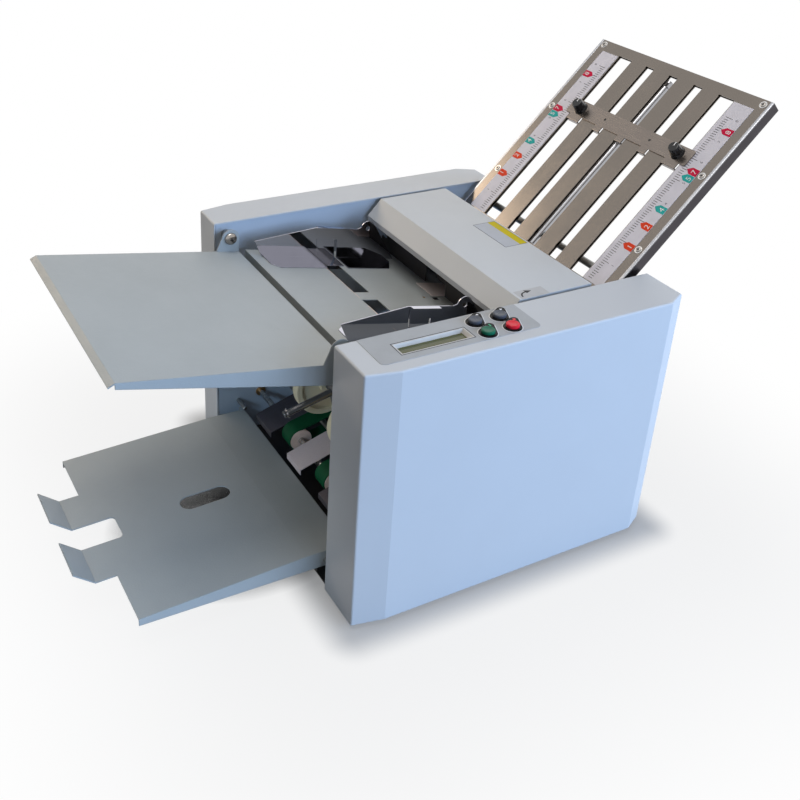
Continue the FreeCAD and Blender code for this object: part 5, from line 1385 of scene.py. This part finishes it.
@dataclass
class Studio:
    """Pale floor, soft lamps and a white surround."""

    floor_level: float = -0.0005
    floor_half: float = 7.0
    floor_grey: float = 0.34
    glow_places: Pair = (0.05, 0.5)
    glow_levels: tuple[float, float, float] = (0.25, 0.84, 1.0)
    tray_shade: Pair = (0.17, 0.15)
    shade_ahead: float = 0.08
    cover_reach: float = 0.15
    cover_samples: int = 12
    covered: Pair = (0.17, 0.36)
    world_light: Colour = (0.66, 0.67, 0.70)
    world_strength: float = 0.17

    def build_world(self) -> None:
        """Even soft light, white where it is looked at."""
        world = bpy.data.worlds.new("studio_surround")
        bpy.context.scene.world = world
        world.use_nodes = True
        bench = NodeBench(world.node_tree)
        light = bench.node("Background", Color=(*self.world_light, 1),
                           Strength=self.world_strength)
        seen = bench.node("Background", Color=(1, 1, 1, 1))
        bench.blend_shaders(bench.seen_rays(), light.outputs["Background"],
                            seen.outputs["Background"], "OutputWorld")

    def glow_share(self, bench: NodeBench) -> Socket:
        """How much of the floor's look is plain white: none under the machine, all far from it.

        The distance from the covers' footprint, with centre c and half sizes h, is the length of
        the vector whose parts are max(|x - cx| - hx, 0) and max(|y - cy| - hy, 0).
        """
        low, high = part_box("near_cover")[0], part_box("far_cover")[1]
        parts = bench.place_parts()
        squares = []
        for axis, start, end in zip("XY", low, high):
            offset = bench.compute("SUBTRACT", parts[axis], (start + end) / 2)
            gap = bench.compute("SUBTRACT", bench.compute("ABSOLUTE", offset), (end - start) / 2)
            squares.append(bench.compute("POWER", bench.compute("MAXIMUM", gap, 0.0), 2.0))
        away = bench.compute("SQRT", bench.compute("ADD", *squares))
        node = bench.node("ValToRGB", Fac=away)
        ramp = node.color_ramp
        ramp.interpolation = "EASE"
        ramp.elements[1].position = self.glow_places[1]
        ramp.elements.new(self.glow_places[0])
        for element, level in zip(ramp.elements, self.glow_levels):
            element.color = (level, level, level, 1.0)
        # The painted shade under the tray also takes away the white glow there.
        return bench.compute("MULTIPLY", node.outputs["Color"], self.painted_shade_openness(bench))

    def painted_shade_openness(self, bench: NodeBench) -> Socket:
        """0 on the floor that the lowered delivery tray covers and 1 elsewhere: painted shade
        under the tray.

        With the half sizes a and b of an ellipse under the tray, r is the length of
        ((x - cx) / a, (y - cy) / b). The result is the larger of r^4 and of how open to the sky
        the floor is, so that the shade goes when the tray is folded up.
        """
        cover = bench.node("AmbientOcclusion", Distance=self.cover_reach)
        cover.samples = self.cover_samples
        limits = bench.node("MapRange", Value=cover.outputs["AO"], From_Min=self.covered[0],
                            From_Max=self.covered[1])
        limits.interpolation_type = "SMOOTHSTEP"
        middle, size, _ = plan("delivery_tray")
        centre = (middle[0] + size[0] / 2 - self.shade_ahead, middle[1])
        parts = bench.place_parts()
        terms = []
        for axis, place, half in zip("XY", centre, self.tray_shade):
            offset = bench.compute("SUBTRACT", parts[axis], place)
            terms.append(bench.compute("POWER", bench.compute("DIVIDE", offset, half), 2.0))
        reach = bench.compute("POWER", bench.compute("ADD", *terms), 2.0)
        largest = bench.compute("MAXIMUM", reach, limits.outputs["Result"])
        return bench.compute("MINIMUM", largest, 1.0)

    def build_floor(self) -> None:
        """Large pale plane that turns plain white for the camera away from the machine, with
        painted shade under the delivery tray.
        """
        mesh = bpy.data.meshes.new("studio_floor")
        corners = raised(SQUARE * self.floor_half, self.floor_level)
        mesh.from_pydata(corners.tolist(), [], [(0, 1, 2, 3)])
        floor = bpy.data.objects.new("studio_floor", mesh)
        bpy.context.scene.collection.objects.link(floor)
        material = bpy.data.materials.new("floor_paper")
        material.use_nodes = True
        bench = NodeBench(material.node_tree)
        # Painted shade: the paper's grey falls to black where the lowered delivery tray covers the
        # floor.
        grey = bench.compute("MULTIPLY", self.painted_shade_openness(bench), self.floor_grey)
        paper = bench.node("BsdfDiffuse", Color=grey)
        glow = bench.node("Emission", Color=(1, 1, 1, 1))
        share = bench.compute("MULTIPLY", bench.seen_rays(), self.glow_share(bench))
        bench.blend_shaders(share, paper.outputs["BSDF"], glow.outputs["Emission"],
                            "OutputMaterial")
        mesh.materials.append(material)

    def build(self) -> None:
        """Build the surround, the floor and the lamps."""
        bpy.context.scene.view_settings.view_transform = "Standard"
        self.build_world()
        self.build_floor()
        for lamp in LAMPS:
            lamp.hang()


@dataclass
class ViewPoint:
    """Camera whose place, direction and lens are named outright."""

    place: Point = (-0.63975, -1.0273, 0.9183)
    turn: float = math.radians(31.19)
    tilt: float = math.radians(27.17)
    roll: float = math.radians(3.57)
    focal_pixels: float = 1065.8
    centre_pixels: Pair = (384.2, 290.6)
    frame_pixels: float = 800.0
    sensor: float = 36.0

    def axes(self) -> tuple[Vector, Vector, Vector]:
        """Right, up and forward, from the turn about z, the tilt down and the roll."""
        forward = Vector((math.sin(self.turn) * math.cos(self.tilt),
                          math.cos(self.turn) * math.cos(self.tilt), -math.sin(self.tilt)))
        level = Vector((math.cos(self.turn), -math.sin(self.turn), 0))
        upright = level.cross(forward)
        right = math.cos(self.roll) * level + math.sin(self.roll) * upright
        up = math.cos(self.roll) * upright - math.sin(self.roll) * level
        return right, up, forward

    def build(self) -> None:
        """Create the camera and make it the scene's own."""
        data = bpy.data.cameras.new("viewpoint")
        data.sensor_width = self.sensor
        data.lens = self.focal_pixels * self.sensor / self.frame_pixels
        half = self.frame_pixels / 2
        data.shift_x = (half - self.centre_pixels[0]) / self.frame_pixels
        data.shift_y = (self.centre_pixels[1] - half) / self.frame_pixels
        camera = bpy.data.objects.new("viewpoint", data)
        right, up, forward = self.axes()
        rotation = Matrix((right, up, -forward)).transposed().to_4x4()
        camera.matrix_world = Matrix.Translation(self.place) @ rotation
        bpy.context.scene.collection.objects.link(camera)
        bpy.context.scene.camera = camera


def main() -> None:
    """Set up the view and the studio, then dress the machine one sub-assembly at a time."""
    logging.basicConfig(level=logging.INFO, format="%(name)s: %(message)s")
    ViewPoint().build()
    Studio().build()
    for assembly in (Casing(), ControlPanel(), FeedSection(), RollerTrain(), FoldPlates(),
                     Delivery()):
        LOG.info("dressing %s", type(assembly).__name__)
        assembly.dress()


if __name__ == "__main__":
    main()
